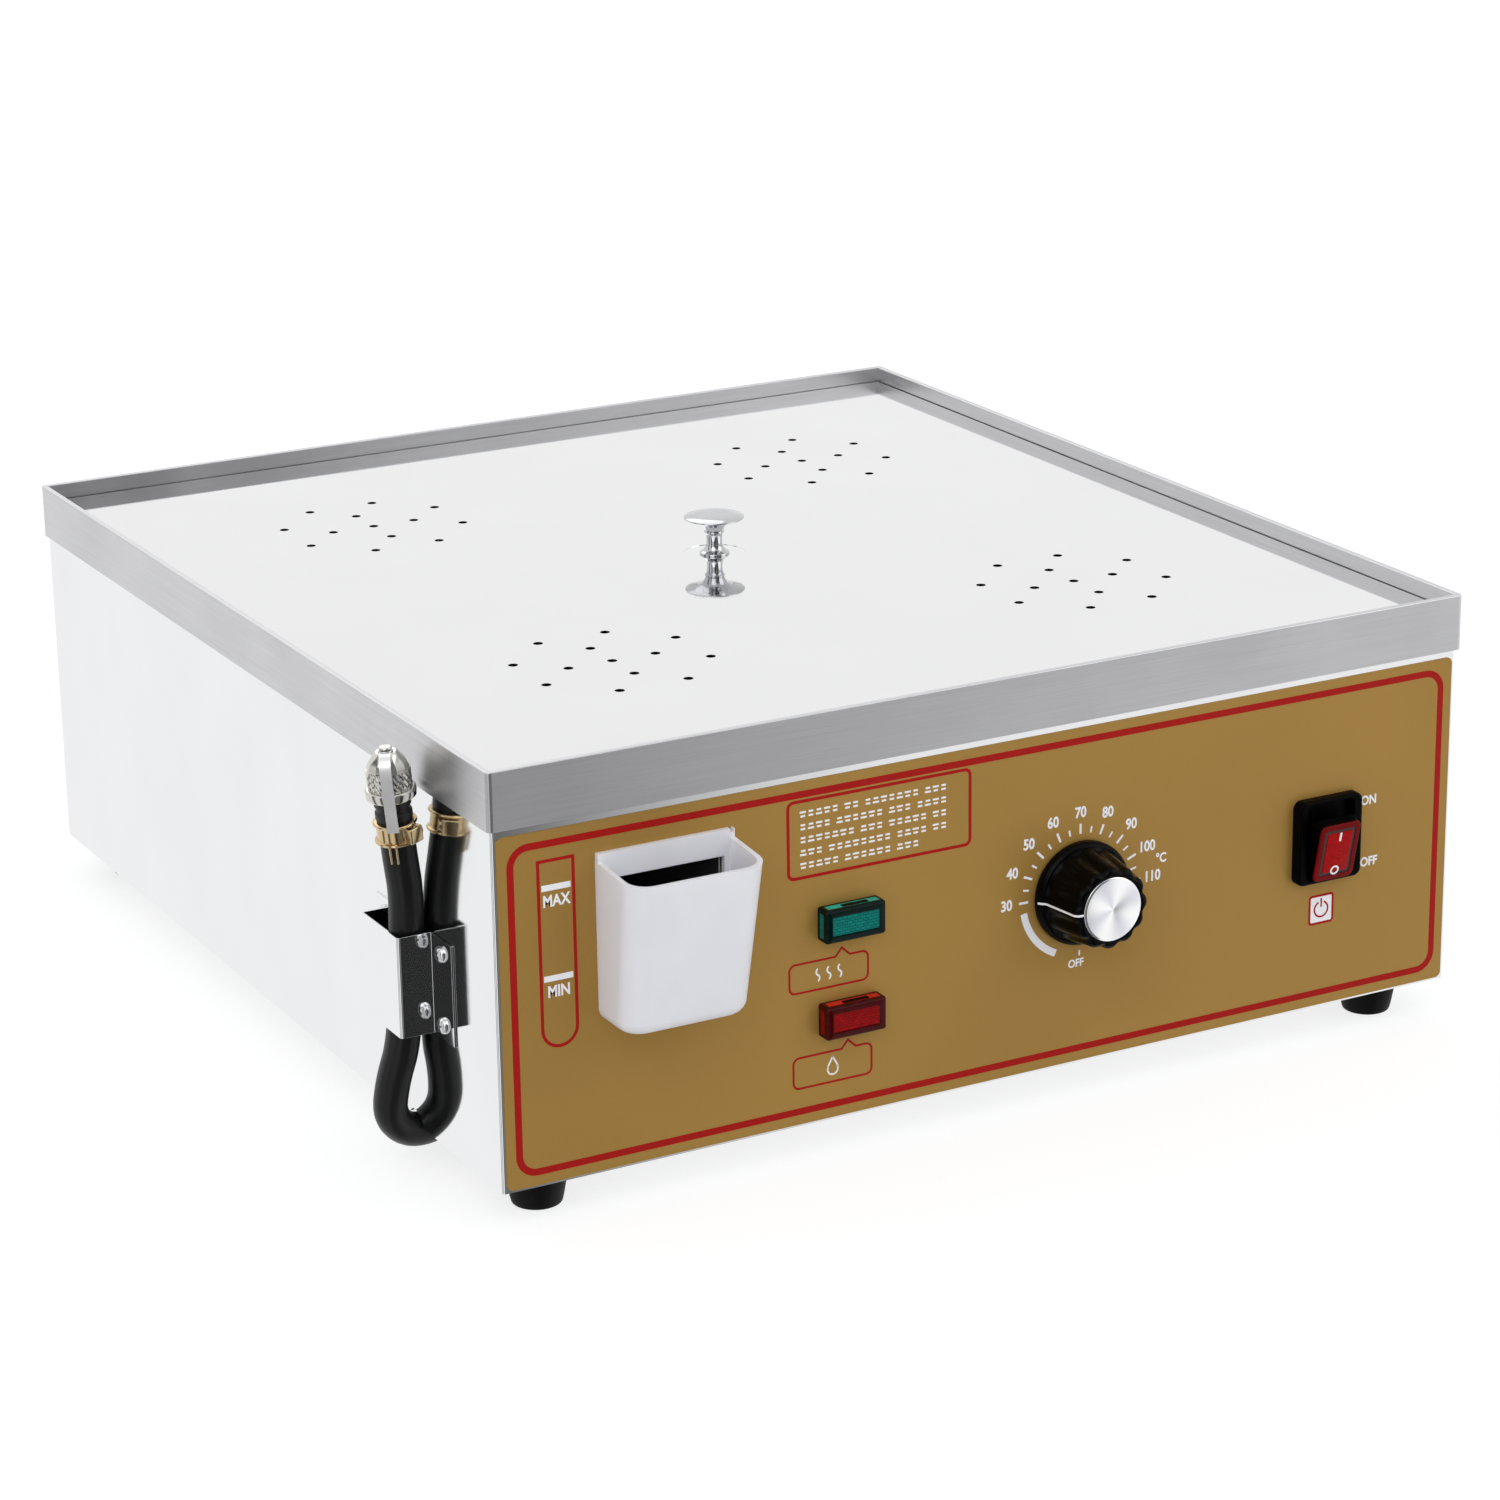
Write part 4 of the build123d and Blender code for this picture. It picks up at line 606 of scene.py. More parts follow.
def makeCap():
    base, bore, skirt, grip = (cap[key] for key in (
        "neckHeight", "bore", "skirtRadius", "gripRadius"))
    whole = bmesh.new()
    collar = softened([
        (bore, base), (skirt, base), (skirt, gripLow), (grip - 1, gripLow), (grip - 1, base + 2),
        (bore, base + 2)], {1: 0.9, 2: 1.2}, 4)
    joinInto(whole, turned(collar, 72, closed=True))
    # knurled grip: slanted cuts all round a turned band, fading at its edges
    band = [(grip, gripLow + cap["gripHeight"] * step / 12) for step in range(13)]
    knurl = turned([(bore, gripLow - 0.5), *band, (bore, gripHigh)], cap["ridges"] * 6,
                   closed=True)
    for vert in knurl.verts:
        reach = math.hypot(vert.co.x, vert.co.y)
        if reach > grip - 0.1:
            angle = math.atan2(vert.co.y, vert.co.x) * cap["ridges"] / math.tau
            slope = (vert.co.z - gripLow) / cap["ridgeLead"]
            one = abs((angle + slope) % 1 - 0.5) * 2
            edge = min(1.0, (vert.co.z - gripLow) / 0.8, (gripHigh - vert.co.z) / 0.8)
            cut = max(0.0, 1 - 1.6 * one) * max(edge, 0) + 0.6 * (edge < 0.1)
            sink = cap["ridgeDepth"] * cut
            vert.co.xy *= (reach - sink) / reach
    joinInto(whole, knurl)
    dome = [(0, gripHigh - 1), (grip - 0.8, gripHigh - 1), (grip - 0.5, gripHigh + 0.9),
            (grip - 1.5, gripHigh + 3.4), (5.4, domeTop - 0.8), (4.6, domeTop), (0, domeTop)]
    joinInto(whole, turned(dome, cap["facets"]))
    pin = softened([
        (0, domeTop), (cap["pinRadius"], domeTop), (cap["pinRadius"], domeTop + 1.4),
        (3.0, domeTop + 1.4), (2.7, domeTop + 2.2), (0, domeTop + 2.2)], {3: 0.2, 4: 0.5}, 3)
    joinInto(whole, turned(pin, 32))
    return finishPiece(whole, "drainCap", "nickel", "drain_cap", endPlace, "cap", 22)


def makeStrap():
    top, wide = domeTop + 0.6, 5.0
    line = softened([(2.0, top), (8.6, top), (12.0, top - 6.0), (12.1, 1.0), (11.2, -2.6)],
                    {1: 3.4, 2: 3.8, 3: 2.0}, 6)
    whole = ribbon([(x, -wide / 2, z) for x, z in line], (0, wide, 0))
    bmesh.ops.solidify(whole, geom=whole.faces[:], thickness=0.7)
    eye = [(1.8, top - 0.35), (3.3, top - 0.35), (3.3, top + 0.35), (1.8, top + 0.35)]
    joinInto(whole, turned(eye, 32, closed=True))
    return finishPiece(whole, "capStrap", "strap_steel", "cap_strap", endPlace)


drainHose = makeHose()
hosePieces = [makeNipple(), makeClamp(), makeCap(), makeStrap()]
print("hose and its fittings made")

# Every CAD node that stays gets its finish
plainNodes = {
    "polished_steel": ["casing", "rear_cover"],
    "satin_steel": ["top_rim", "fill_duct"],
    "plate_steel": ["steam_plate"],
    "tank_steel": [
        "water_tank", "base_tray", "heater_bracket", "float_stem", "float_nut", "drain_elbow",
        "float_ring"],
    "screw_steel": [
        "plate_knob_screw", "fill_box_nuts", "thermostat_screws", "foot_screws", "foot_nuts",
        "rear_cover_screws", "rim_screws", "earth_nut"],
    "gold_film": ["front_overlay"],
    "phenolic": ["heating_lamp_body", "low_water_lamp_body", "thermostat_body", "terminal_block"],
    "brass": ["thermostat_shaft", "earth_stud", "heater_nuts"],
    "copper": ["thermostat_bulb"],
    "switch_black": ["switch_rocker"],
    "heater_steel": ["heater_element"],
    "wire_sleeve": ["wiring_loom"],
    "gland_black": ["cable_gland", "gland_locknut"],
    "gasket_white": ["duct_gasket"],
}
for finishName, names in plainNodes.items():
    for name in names:
        data = nodes[name].data
        if not data.materials:
            data.materials.append(None)
        for index in range(len(data.materials)):
            data.materials[index] = finishes[finishName]
print("CAD nodes finished")

# Lifting knob of the plate, standing in its shallow seat
pull = {"foot": 7.3, "neck": 3.4, "disc": 14.75, "height": 20.0, "seat": 0.15}


def makePull():
    foot, neck, disc, high, seat = pull.values()
    profile = softened([
        (0, 0), (foot, 0), (foot, 0.9), (neck + 2.2, 1.7), (neck + 0.7, 3.6), (neck + 0.3, 6.8),
        (neck + 0.8, 10.4), (neck + 1.5, 10.9), (neck + 1.5, 11.5), (neck + 1.1, 12.0),
        (neck + 2.7, 15.4), (disc - 5.5, 17.2), (disc, 18.1), (disc, 18.7),
        (disc - 4.0, high - 0.25), (0, high)],
        {1: 0.15, 2: 0.35, 3: 0.8, 4: 1.2, 5: 1.8, 7: 0.25, 8: 0.25, 10: 1.4, 11: 1.8, 12: 0.25,
         13: 0.3, 14: 2.4}, 5)
    finishPiece(turned(profile, 96), "plateKnob", "chrome_knob", "plate_knob",
                shift(midX, midY, plateTop - seat), "plate", 50)


makePull()

# Pieces on the front: x from the case's middle, y the height over the table, z off the film
filmPlace = shift(midX, filmY, 0, 90, "X")
fillBox = {
    "left": -200.6, "width": 65.6, "taper": 5.0, "depth": 35.5, "lowDepth": 27.0,
    "bottom": 88.0, "rim": 160.6, "back": 164.2, "corner": 11.0, "floorRound": 6.0,
    "wall": 2.2, "backWall": 2.8, "floor": 2.6, "dip": 3.0,
    "window": {"left": -195.3, "right": -140.3, "low": 98.0, "high": 152.6},
}


def middleOf(area):
    return (area["left"] + area["right"]) / 2, (area["low"] + area["high"]) / 2


def boxBlank(inset, low, high, back):  # the box's tapered outside, or its inside
    box = fillBox
    bm = bmesh.new()
    bmesh.ops.create_cube(bm, size=1)
    for vert in bm.verts:
        y = high if vert.co.y > 0 else low
        share = (y - box["bottom"]) / (box["rim"] - box["bottom"])
        right = box["left"] + box["width"] - box["taper"] * (1 - share)
        front = box["lowDepth"] + (box["depth"] - box["lowDepth"]) * share
        if vert.co.y > 0 and vert.co.z > 0 and inset == 0:
            y -= box["dip"]
        vert.co = (right - inset if vert.co.x > 0 else box["left"] + inset, y,
                   front - inset if vert.co.z > 0 else back)
    upright = [e for e in bm.edges if all(v.co.z > back + 1 for v in e.verts)
               and abs(e.verts[0].co.y - e.verts[1].co.y) > 1]
    rounded(bm, upright, box["corner"] - inset, 10)
    foot = [e for e in bm.edges if all(abs(v.co.y - low) < 0.01 for v in e.verts)
            and any(v.co.z > back + 0.01 for v in e.verts)]
    rounded(bm, foot, box["floorRound"] - inset, 6)
    return bm


def makeFillBox():
    left, width, back, rim, top, window = (fillBox[key] for key in (
        "left", "width", "backWall", "rim", "back", "window"))
    plate = moved(block(width - 0.3, top - rim + 6, back), left + width / 2, (top + rim - 6) / 2)
    inside = boxBlank(fillBox["wall"], fillBox["bottom"] + fillBox["floor"], top + 3, back)
    hole = moved(block(window["right"] - window["left"], window["high"] - window["low"], 12),
                 *middleOf(window), -2)
    notch = moved(block(1.6, 3.4, 6), left + width - 1.4, top, -2)
    bm = carved(boxBlank(0, fillBox["bottom"], rim, 0), inside, hole, notch, added=(plate,))
    easeEdges(bm, 0.6, 55, 3, lambda e: min(v.co.z for v in e.verts) > 0.3)
    finishPiece(bm, "fillBox", "white_plastic", "fill_box", filmPlace, sharp=40, flat=True)


lamps = {
    "x": -78.5, "width": 30.2, "height": 15.6, "depth": 8.0, "bevel": 1.6, "frame": 1.9,
    "heating": 111.6, "low_water": 66.5,
}


def makeLamp(lamp, shell, window, glow):
    wide, tall, deep, edge = (lamps[key] for key in ("width", "height", "depth", "bevel"))
    inner = 2 * (edge + lamps["frame"])
    bm = stacked([
        (wide, tall, 1.3, 0), (wide, tall, 1.3, deep - edge),
        (wide - 0.5, tall - 0.5, 1.2, deep - 0.9), (wide - 1.5, tall - 1.5, 1.1, deep - 0.3),
        (wide - 2.4, tall - 2.4, 0.9, deep), (wide - inner + 0.7, tall - inner + 0.7, 0.7, deep),
        (wide - inner, tall - inner, 0.5, deep - 0.55)])
    front = max((f for f in bm.faces if len(f.verts) > 8),
                key=lambda f: f.calc_center_median().z)
    front.material_index = 1
    # a slot in the top painted bright for light caught in the clear acrylic (painted light), the
    # dark lamp base showing through its middle, a lit strip at the left
    slotY = tall / 2 - 0.15
    for width, height, depth, x, y, z, material in (
            (25.6, 0.3, 3.9, 0, slotY + 0.05, 1.7, 2), (13.0, 0.3, 2.5, 1.0, slotY + 0.3, 3.0, 3),
            (0.3, tall - 4.4, 3.2, -wide / 2 + 0.1, 0, 2.0, 1)):
        bar = block(width, height, depth, 0.04, 1)
        for face in bar.faces:
            face.material_index = material
        joinInto(bm, bar, shift(x, y, z))
    finishPiece(bm, lamp + "LampLens", shell, lamp + "_lamp_lens",
                filmPlace @ shift(lamps["x"], lamps[lamp]), sharp=40, flat=True,
                extra=(window, glow, finishes["switch_black"]))


dialKnob = {
    "lift": 0.6, "skirt": 24.5, "skirtTop": 5.6, "foot": 21.8, "grip": 19.2, "reach": 27.0,
    "disc": 15.0, "discDepth": 1.2, "flutes": 12, "flute": 1.5, "pointer": 1.0,
}
dialPlace = filmPlace @ shift(dialX, dialY)


def makeDialKnob():
    k = dialKnob
    skirt, low, high, disc = k["skirt"], k["skirtTop"], k["reach"], k["disc"]
    seat = high - k["discDepth"]
    sides = [(k["foot"] + (k["grip"] - k["foot"]) * step / 8,
              low + 1.2 + (high - 1.6 - low - 1.2) * step / 8) for step in range(9)]
    profile = softened([
        (0, k["lift"]), (skirt, k["lift"]), (skirt, 3.6), (skirt - 1.5, low),
        (k["foot"] + 0.5, low), *sides, (k["grip"] - 1.6, high), (disc + 0.25, high),
        (disc + 0.15, seat), (0, seat)],
        {1: 0.3, 2: 0.7, 3: 0.5, 13: 0.8, 14: 0.8, 15: 0.3}, 4)
    bm = turned(profile, 24 * k["flutes"])
    for vert in bm.verts:
        radius = math.hypot(vert.co.x, vert.co.y)
        if vert.co.z > low + 0.5 and radius > disc + 0.6:
            wave = 0.5 - 0.5 * math.cos(k["flutes"] * math.atan2(vert.co.y, vert.co.x))
            fade = min(1.0, (radius - disc - 0.6) / 2.2)
            cut = k["flute"] * wave ** 1.4 * fade * (0.45 + 0.55 * vert.co.z / high)
            vert.co.xy *= 1 - cut / radius
    finishPiece(bm, "controlKnob", "knob_black", "control_knob", dialPlace, "knob", 32)
    # pointer line from the skirt's edge over the grip to the disc
    line = softened([
        (-24.58, 3.5), (-23.1, 5.66), (-22.5, 5.7), (-21.88, 7.0), (-19.28, 25.4),
        (-17.65, 27.08), (-15.3, 27.08)], {1: 0.3, 2: 0.1, 3: 0.3, 4: 0.5, 5: 0.5}, 4)
    strip = ribbon([(x, -k["pointer"] / 2, z) for x, z in line], (0, k["pointer"], 0))
    bmesh.ops.solidify(strip, geom=strip.faces[:], thickness=0.1)
    finishPiece(strip, "knobPointer", "knob_black", None, dialPlace, "knob", ink=whiteInk)
    rim = softened([
        (0, seat), (disc, seat), (disc, high + 0.05), (disc - 0.9, high + 0.3),
        (0.8, high + 0.42), (0, high + 0.3)], {2: 0.3, 3: 0.3}, 3)
    finishPiece(turned(rim, 144), "knobDisc", "spun_aluminium", "knob_disc", dialPlace, "knob",
                50)


switch = {
    "x": 175.8, "y": 102.4, "frameWidth": 36.0, "frameHeight": 41.0, "frameDepth": 5.2,
    "frameCorner": 4.0, "wellWidth": 26.0, "wellHeight": 37.2, "pivot": 8.0, "sheet": 0.4,
    "tilt": 12.5, "reach": 19.5, "bootWidth": 22.4, "bootHeight": 29.6, "bootDepth": 5.8,
}
# the rocker's own plane: x across, y up its face and z out of it, from its pivot
rockerPlace = filmPlace @ shift(
    switch["x"], switch["y"], -switch["sheet"] - switch["pivot"], switch["tilt"], "X")


def makeSwitch():
    s = switch
    bezel = thickened(roundedFace(s["frameWidth"], s["frameHeight"], s["frameCorner"], 6),
                      s["frameDepth"])
    front = [e for e in bezel.edges if all(v.co.z > s["frameDepth"] - 0.01 for v in e.verts)]
    rounded(bezel, front, 1.5, 4)
    well = moved(thickened(roundedFace(s["wellWidth"], s["wellHeight"], 2.4, 4), 9), z=1)
    housing = carved(bezel, well)
    easeEdges(housing, 0.35, 60, 2, lambda e: min(v.co.z for v in e.verts) > 3)
    joinInto(housing, block(21.6, 28.6, 23.8, 0.4), shift(z=-23.6))
    for y in (-9, 0, 9):
        joinInto(housing, block(6.3, 0.8, 9.2, 0.2), shift(y=y, z=-32.6))
    finishPiece(housing, "switchHousing", "switch_black", "switch_housing",
                filmPlace @ shift(s["x"], s["y"]), flat=True)
    # soft boot: ribbed black sides, then a clear red border round the lit face
    low, wide, tall = s["reach"] - s["bootDepth"], s["bootWidth"], s["bootHeight"]
    boot = stacked([(wide + grow, tall + grow, radius, low + rise) for grow, radius, rise in (
        (1.4, 3.2, 0), (1.3, 3.2, 1.3), (0.3, 3.1, 1.5), (0.3, 3.1, 2.7), (0, 3.0, 2.9),
        (0, 3.0, 5.0), (-0.5, 2.9, 5.6), (-1.3, 2.6, 5.8), (-5.4, 1.3, 5.8),
        (-5.6, 1.2, 5.3))], 6)
    for face in boot.faces:
        if face.calc_center_median().z < low + 4.2:
            face.material_index = 1
    finishPiece(boot, "switchBoot", "boot_red", "switch_boot", rockerPlace, "rocker", 40,
                extra=(finishes["switch_black"],), flat=True)
    top = s["reach"]
    face = stacked([(wide - less, tall - less, radius, top + rise) for less, radius, rise in (
        (5.8, 1.2, -0.9), (5.8, 1.2, -0.25), (8.4, 0.6, -0.25), (8.6, 0.6, 0),
        (9.0, 0.5, 0.05))], 4)
    for part in face.faces:
        part.material_index = 0 if part.calc_center_median().z > top - 0.2 else 1
    finishPiece(face, "switchWindow", "switch_red", "switch_window", rockerPlace, "rocker",
                extra=(finishes["phenolic"],))
    marks = bmesh.new()
    joinInto(marks, roundedFace(1.15, 4.6, 0.3, 2), shift(0.2, 8.2))
    joinInto(marks, ringPart(1.5, 2.4, 0, 360, 32), shift(0, -9.6))
    moved(thickened(marks, 0.12), z=top + 0.03)
    finishPiece(marks, "switchMarks", "switch_red", None, rockerPlace, "rocker", ink=whiteInk)


# Hat-section clip on the left wall: x off the wall, y along it, from the case's middle
clip = {
    "start": -203.7, "width": 38.5, "flange": 20.5, "reach": 16.8, "sheet": 0.9, "bend": 1.6,
    "fold": 0.15, "middle": 93.8, "height": 46.5, "screw": 2.0, "pitch": 33.0,
}


def screwHead(radius):  # a cross-recessed pan head standing on Z = 0
    wide, high = 1.9 * radius, 1.2 * radius
    head = turned(softened([
        (0, -0.3), (wide, -0.3), (wide, 0.35 * high), (0.72 * wide, 0.86 * high), (0, high)],
        {2: 0.3 * radius, 3: 0.3 * radius}, 4), 48)
    slots = [moved(block(across * wide, along * wide, high), z=0.42 * high)
             for across, along in ((1.15, 0.24), (0.24, 1.15))]
    return carved(head, *slots)


def makeClip():
    c = clip
    near, far = c["start"], c["start"] + c["width"]
    flat, out = leftX - c["sheet"], leftX - c["reach"]
    line = softened([
        (flat, near - c["flange"]), (flat, near), (out, near), (out, far), (flat, far),
        (flat, far + c["flange"])],
        {1: c["fold"], 2: c["bend"], 3: c["bend"], 4: c["fold"]}, 5)
    bm = ribbon([(x, y + midY, c["middle"] - c["height"] / 2) for x, y in line],
                (0, 0, c["height"]))
    piece = finishPiece(bm, "hoseClip", "polished_steel", "hose_clip")
    outward = sum((p.normal.x * p.area for p in piece.data.polygons)) < 0
    setAll(piece.modifiers.new("thickness", "SOLIDIFY"), thickness=c["sheet"] * mm,
           offset=-1 if outward else 1, use_even_offset=True)
    setAll(piece.modifiers.new("edges", "BEVEL"), width=0.12 * mm, segments=2,
           limit_method="ANGLE", angle_limit=math.radians(60))
    keepFlat(piece)
    toWall = Matrix(((0, 0, -1, flat), (-1, 0, 0, 0), (0, 1, 0, 0), (0, 0, 0, 1)))
    screws, head, turn = bmesh.new(), screwHead(c["screw"]), 17
    for y in (near - c["flange"] / 2, far + c["flange"] / 2):
        for rise in (-c["pitch"] / 2, c["pitch"] / 2):
            spot = toWall @ shift(-(y + midY), c["middle"] + rise)
            joinInto(screws, head.copy(), spot @ shift(turn=turn))
            turn += 43
    head.free()
    finishPiece(screws, "hoseClipScrews", "screw_steel", "hose_clip_screws", sharp=30)


feet = {"x": 221.0, "y": 243.0, "height": 18.0, "top": 14.0, "low": 11.5}


def makeFeet():
    whole = bmesh.new()
    top, low, high = feet["top"], feet["low"], feet["height"]
    profile = softened([
        (0, 8), (6, 8), (6, 0), (low - 0.4, 0), (low + 0.5, 3.5), (top, high - 3.2),
        (top, high), (0, high)], {2: 0.3, 3: 1.0, 5: 0.9, 6: 0.3}, 4)
    foot = turned(profile, 64)
    for x in (-feet["x"], feet["x"]):
        for y in (-feet["y"], feet["y"]):
            joinInto(whole, foot.copy(), shift(midX + x, midY + y))
    foot.free()
    finishPiece(whole, "rubberFeet", "foot_rubber", "rubber_feet")


# Printing on the film: frames, scales and letters, plain bars and signs
panel = {
    "ink": 0.06,
    "border": {"left": -241.5, "right": 241.5, "low": 23.6, "high": 174.0, "line": 3.2},
    "gauge": {"left": -227.9, "right": -210.0, "low": 80.1, "high": 165.5, "line": 1.5},
    "levels": {"MAX": 152.65, "MIN": 111.95},
    "info": {"left": -108.5, "right": -15.5, "low": 133.5, "high": 170.0, "line": 1.5},
    "bars": ((5, 2, 7, 3), (4, 6, 3, 4), (7, 3, 5, 2), (3, 8, 4, 2), (5, 6, 3)),
    "bubbles": [
        {"left": -108.5, "right": -68.0, "low": 80.5, "high": 95.0, "tip": (-81.7, 99.0)},
        {"left": -107.0, "right": -66.5, "low": 35.5, "high": 51.0, "tip": (-79.0, 55.0)},
    ],
    "power": {"left": 168.0, "right": 182.2, "low": 59.5, "high": 74.3, "line": 1.2},
}
red, white = bmesh.new(), bmesh.new()


def lettering(text, size, x, y, widen):
    curve = setAll(bpy.data.curves.new("lettering", "FONT"), body=text, size=size,
                   align_x="CENTER", align_y="CENTER", resolution_u=4, offset=0.03 * size)
    holder = inScene("lettering", curve)
    bm = fromObject(holder)
    bpy.data.objects.remove(holder)
    bmesh.ops.remove_doubles(bm, verts=bm.verts, dist=0.001)
    joinInto(white, bm, shift(x, y) @ Matrix.Diagonal((widen, 1, 1, 1)))


def boxed(area, radius, segments=8, corners=None):
    face = roundedFace(area["right"] - area["left"], area["high"] - area["low"], radius,
                       segments, corners)
    joinInto(red, lineOnly(face, area["line"]), shift(*middleOf(area)))


def makeBubbles():  # speech bubbles that point at the lamps, with a plain sign in each
    for bubble in panel["bubbles"]:
        left, right, low, high = (bubble[key] for key in ("left", "right", "low", "high"))
        tipX, tipY = bubble["tip"]
        bm = bmesh.new()
        spots = [bm.verts.new((x, y, 0)) for x, y in (
            (left, low), (right, low), (right, high), (tipX + 4.2, high), (tipX, tipY),
            (tipX - 3.4, high), (left, high))]
        bm.faces.new(spots)
        rounded(bm, [spots[i] for i in (0, 1, 2, 6)], 3.4, 6, "VERTICES")
        joinInto(red, lineOnly(bm, 1.0))
    waves, drop = (shift(*middleOf(bubble)) for bubble in panel["bubbles"])
    for x in (-5.5, 0, 5.5):  # three rising waves for heat
        joinInto(white, ringPart(1.3, 2.1, -60, 120, 10), waves @ shift(x - 0.85, -1.45))
        joinInto(white, ringPart(1.3, 2.1, 120, 120, 10), waves @ shift(x + 0.85, 1.45))
    # a drop for water
    joinInto(white, ringPart(2.2, 3.0, 150, 240, 24), drop @ shift(0, -1.2))
    for sign in (-1, 1):
        joinInto(white, roundedFace(0.8, 5.6), drop @ shift(sign * 1.3, 2.3, 0, sign * 29))


def makeDialScale():  # a mark for every five degrees and a number for every ten
    dial = shift(dialX, dialY)
    for step in range(17):
        angle = 180 - 11.25 * step
        inner, outer, line = (27.6, 30.6, 0.9) if step % 2 else (27.4, 32.2, 1.1)
        joinInto(white, roundedFace(outer - inner, line),
                 dial @ shift(turn=angle) @ shift((inner + outer) / 2))
        if step % 2 == 0:
            across, up = math.cos(math.radians(angle)), math.sin(math.radians(angle))
            reach = 37.4 + 1.4 * abs(across)
            lettering(str(30 + 5 * step), 7.0, dialX + reach * across, dialY + reach * up, 0.85)
    lettering("°C", 6.2, dialX + 43.5, dialY + 7.8, 0.85)
    lettering("OFF", 5.2, dialX - 1.8, dialY - 34.4, 0.9)
    joinInto(white, roundedFace(0.8, 2.6), dial @ shift(0, -29.6))
    joinInto(white, ringPart(28.4, 31.8, 190, 55, 24), dial)


def makePrints():
    boxed(panel["border"], 10.0)
    gauge = panel["gauge"]
    middle = middleOf(gauge)[0]
    boxed(gauge, (gauge["right"] - gauge["left"]) / 2 - 0.05, 8, lambda co: co.y < 0)
    info = panel["info"]
    boxed(info, 3.5)
    for text, height in panel["levels"].items():
        joinInto(white, roundedFace(13.6, 2.7), shift(middle, height))
        lettering(text, 7.2, middle, height - 6.2, 0.82)
    # rows of short double bars fill the framed block
    for row, words in enumerate(panel["bars"]):
        x = info["left"] + 6.5
        y = info["high"] - 6.6 - row * 5.9
        for word in words:
            for letter in range(word):
                for rise in (-1.0, 0.8):
                    wide = 2.3 + 0.8 * ((letter * 5 + row * 3 + word + (rise > 0)) % 3 == 0)
                    joinInto(white, roundedFace(wide, 0.9), shift(x + 1.6, y + rise))
                x += 4.0
            x += 2.2
    makeBubbles()
    makeDialScale()
    # words and sign beside the switch
    lettering("ON", 6.2, 200.6, 116.0, 0.9)
    lettering("OFF", 6.2, 201.6, 85.5, 0.9)
    power, ink = panel["power"], panel["ink"]
    wide, tall = (power["right"] - power["left"] - 2.4, power["high"] - power["low"] - 2.4)
    signPlace = shift(*middleOf(power))
    boxed(power, 1.8, 5)
    joinInto(white, roundedFace(wide, tall, 0.7, 3), signPlace)
    sign = bmesh.new()
    joinInto(sign, ringPart(3.3, 4.2, 112, 316, 40), signPlace)
    joinInto(sign, roundedFace(0.9, 4.4), signPlace @ shift(0, 3.2))
    moved(thickened(sign, 0.5 * ink), z=ink)
    thickened(red, ink)
    joinInto(red, sign)
    thickened(white, ink)
    finishPiece(red, "redPrint", "gold_film", None, filmPlace, ink=redInk)
    finishPiece(white, "whitePrint", "gold_film", None, filmPlace, ink=whiteInk)


makePrints()
print("prints made")
makeFillBox()
# each lamp's last finish is a bright colour, painted light on its top slot for the light the clear
# top catches
makeLamp("heating", "lamp_green",
         clearLens("greenRibbedWindow", "#07847A", "#034E48", 1.3, 0.08),
         clearLens("greenPaintedLightEdge", "#25C8AE", "#1FA08C", 2.0))
makeLamp("low_water", "lamp_red",
         clearLens("redRibbedWindow", "#A20A0D", "#700506", 1.3, 0.08),
         clearLens("redPaintedLightEdge", "#F41C14", "#C01010", 2.0))
makeDialKnob()
makeSwitch()
makeClip()
makeFeet()
print("front pieces, clip and feet made")

# Stage: a pale floor, a white surround and soft lamps. The flags are what metal mirrors, as
# pairs of degrees round the part and grey; the first two are the ring's ends
stage = {
    "floor": 16.0,
    "ambient": 0.68,
    "flags": [
        (-180, 0.95), (180, 0.95), (-168, 0.95), (-163, 0.03), (-156, 0.03), (-150, 0.95),
        (-126, 0.95), (-120, 0.03), (-109, 0.03), (-104, 0.2), (-76, 0.2), (-71, 0.03),
        (-66, 0.04), (-60, 0.95), (-47, 1.0), (20, 1.0), (150, 1.0), (157, 0.15), (165, 0.15),
        (172, 0.95)],
    "lamps": {  # place, size and power
        "keyLamp": ((-2.4, -2.6, 3.0), 3.8, 44),
        "fillLamp": ((3.0, -2.6, 2.4), 3.4, 30),
        "backLamp": ((0.4, 3.0, 3.0), 3.0, 18),
    },
    "aim": (0, 0, 0.1),
}


def rayMix(tree):  # 1 for what the camera sees directly, in a mirror or through glass
    path = addNode(tree, "LightPath").outputs
    seen = maths("MAXIMUM", path["Is Camera Ray"], path["Is Glossy Ray"])
    return maths("MAXIMUM", seen, path["Is Transmission Ray"])


def mixed(factor, first, second):
    return addNode(factor.id_data, "MixShader", {0: factor, 1: first, 2: second}).outputs[0]


def lightOf(tree, kind, shade, strength=1.0):
    return addNode(tree, kind, {"Color": shade, "Strength": strength}).outputs[0]


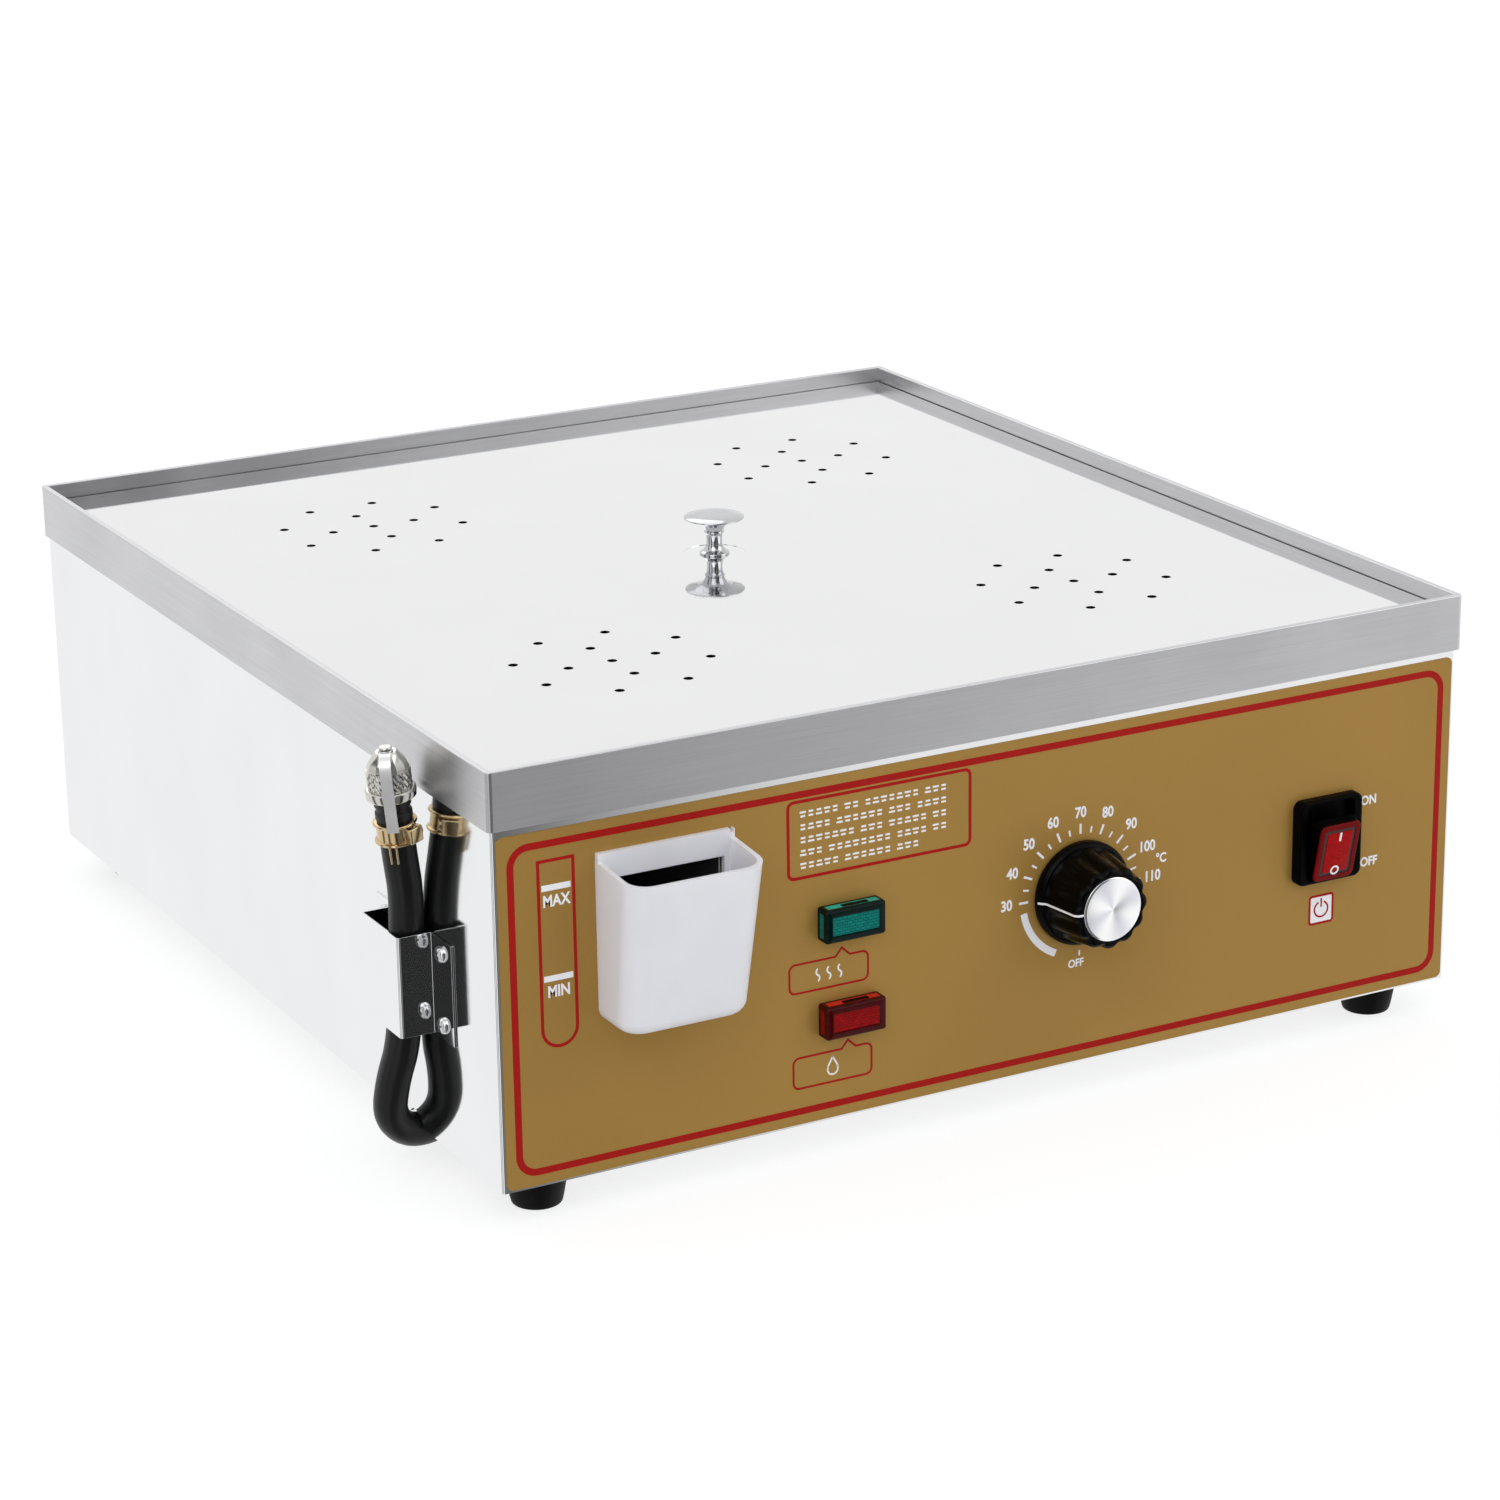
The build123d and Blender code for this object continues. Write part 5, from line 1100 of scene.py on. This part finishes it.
def surround(tree, heading):  # what metal mirrors: open behind, dark towards the camera's side
    parts = addNode(tree, "SeparateXYZ", {0: heading}).outputs
    turn = maths("ARCTAN2", parts[1], parts[0])
    ring = addNode(tree, "ValToRGB", {0: spread(turn, 0, 1, -math.pi, math.pi)})
    stops = ring.color_ramp.elements
    for index, (degrees, grey) in enumerate(stage["flags"]):
        place = (degrees + 180) / 360
        setAll(stops[index] if index < 2 else stops.new(place), position=place,
               color=(grey, grey, grey, 1))
    ceiling = spread(parts[2], 0, 1, 0.6, 0.78)
    return blendColours(ceiling, ring.outputs[0], (0.9, 0.9, 0.9, 1))


def studioOf(tree, kind, heading, lit, pale):
    # lights the part as one shader, the camera sees another and metal mirrors the surround
    glossy = addNode(tree, "LightPath").outputs["Is Glossy Ray"]
    seen = mixed(glossy, pale, lightOf(tree, kind, surround(tree, heading)))
    return {"Surface": mixed(rayMix(tree), lit, seen)}


def makeWorld():
    scene.world = bpy.data.worlds.new("paleStudio")
    tree = emptyTree(scene.world)
    heading = addNode(tree, "TexCoord").outputs["Generated"]
    soft = lightOf(tree, "Background", colour("#F4F6FA"), stage["ambient"])
    white = lightOf(tree, "Background", (1, 1, 1, 1))
    addNode(tree, "OutputWorld", studioOf(tree, "Background", heading, soft, white))


def makeFloor():
    bm = bmesh.new()
    bmesh.ops.create_grid(bm, x_segments=1, y_segments=1, size=stage["floor"] / 2)
    floor = asObject(bm, "floor")
    paint = bpy.data.materials.new("paleFloor")
    tree = emptyTree(paint)
    lit = addNode(tree, "BsdfDiffuse", {"Color": colour("#E4E4E4")}).outputs[0]
    # the camera sees a faint shadow on a glowing floor
    faint = addNode(tree, "BsdfDiffuse", {"Color": (0.34, 0.34, 0.34, 1)}).outputs[0]
    glow = lightOf(tree, "Emission", (1, 1, 1, 1), 0.76)
    pale = addNode(tree, "AddShader", {0: faint, 1: glow}).outputs[0]
    heading = addNode(tree, "VectorMath", {
        0: addNode(tree, "NewGeometry").outputs["Incoming"], 1: (-1, -1, -1)},
        operation="MULTIPLY").outputs[0]
    addNode(tree, "OutputMaterial", studioOf(tree, "Emission", heading, lit, pale))
    floor.data.materials.append(paint)


def makeLights():
    for name, (place, size, power) in stage["lamps"].items():
        light = setAll(bpy.data.lights.new(name, "AREA"), shape="DISK", size=size, energy=power)
        facing = Vector(place) - Vector(stage["aim"])
        setAll(inScene(name, light), location=place, visible_camera=False,
               rotation_euler=facing.to_track_quat("Z", "Y").to_euler())


makeWorld()
makeFloor()
makeLights()
scene.view_settings.view_transform = "Standard"
print("stage set")
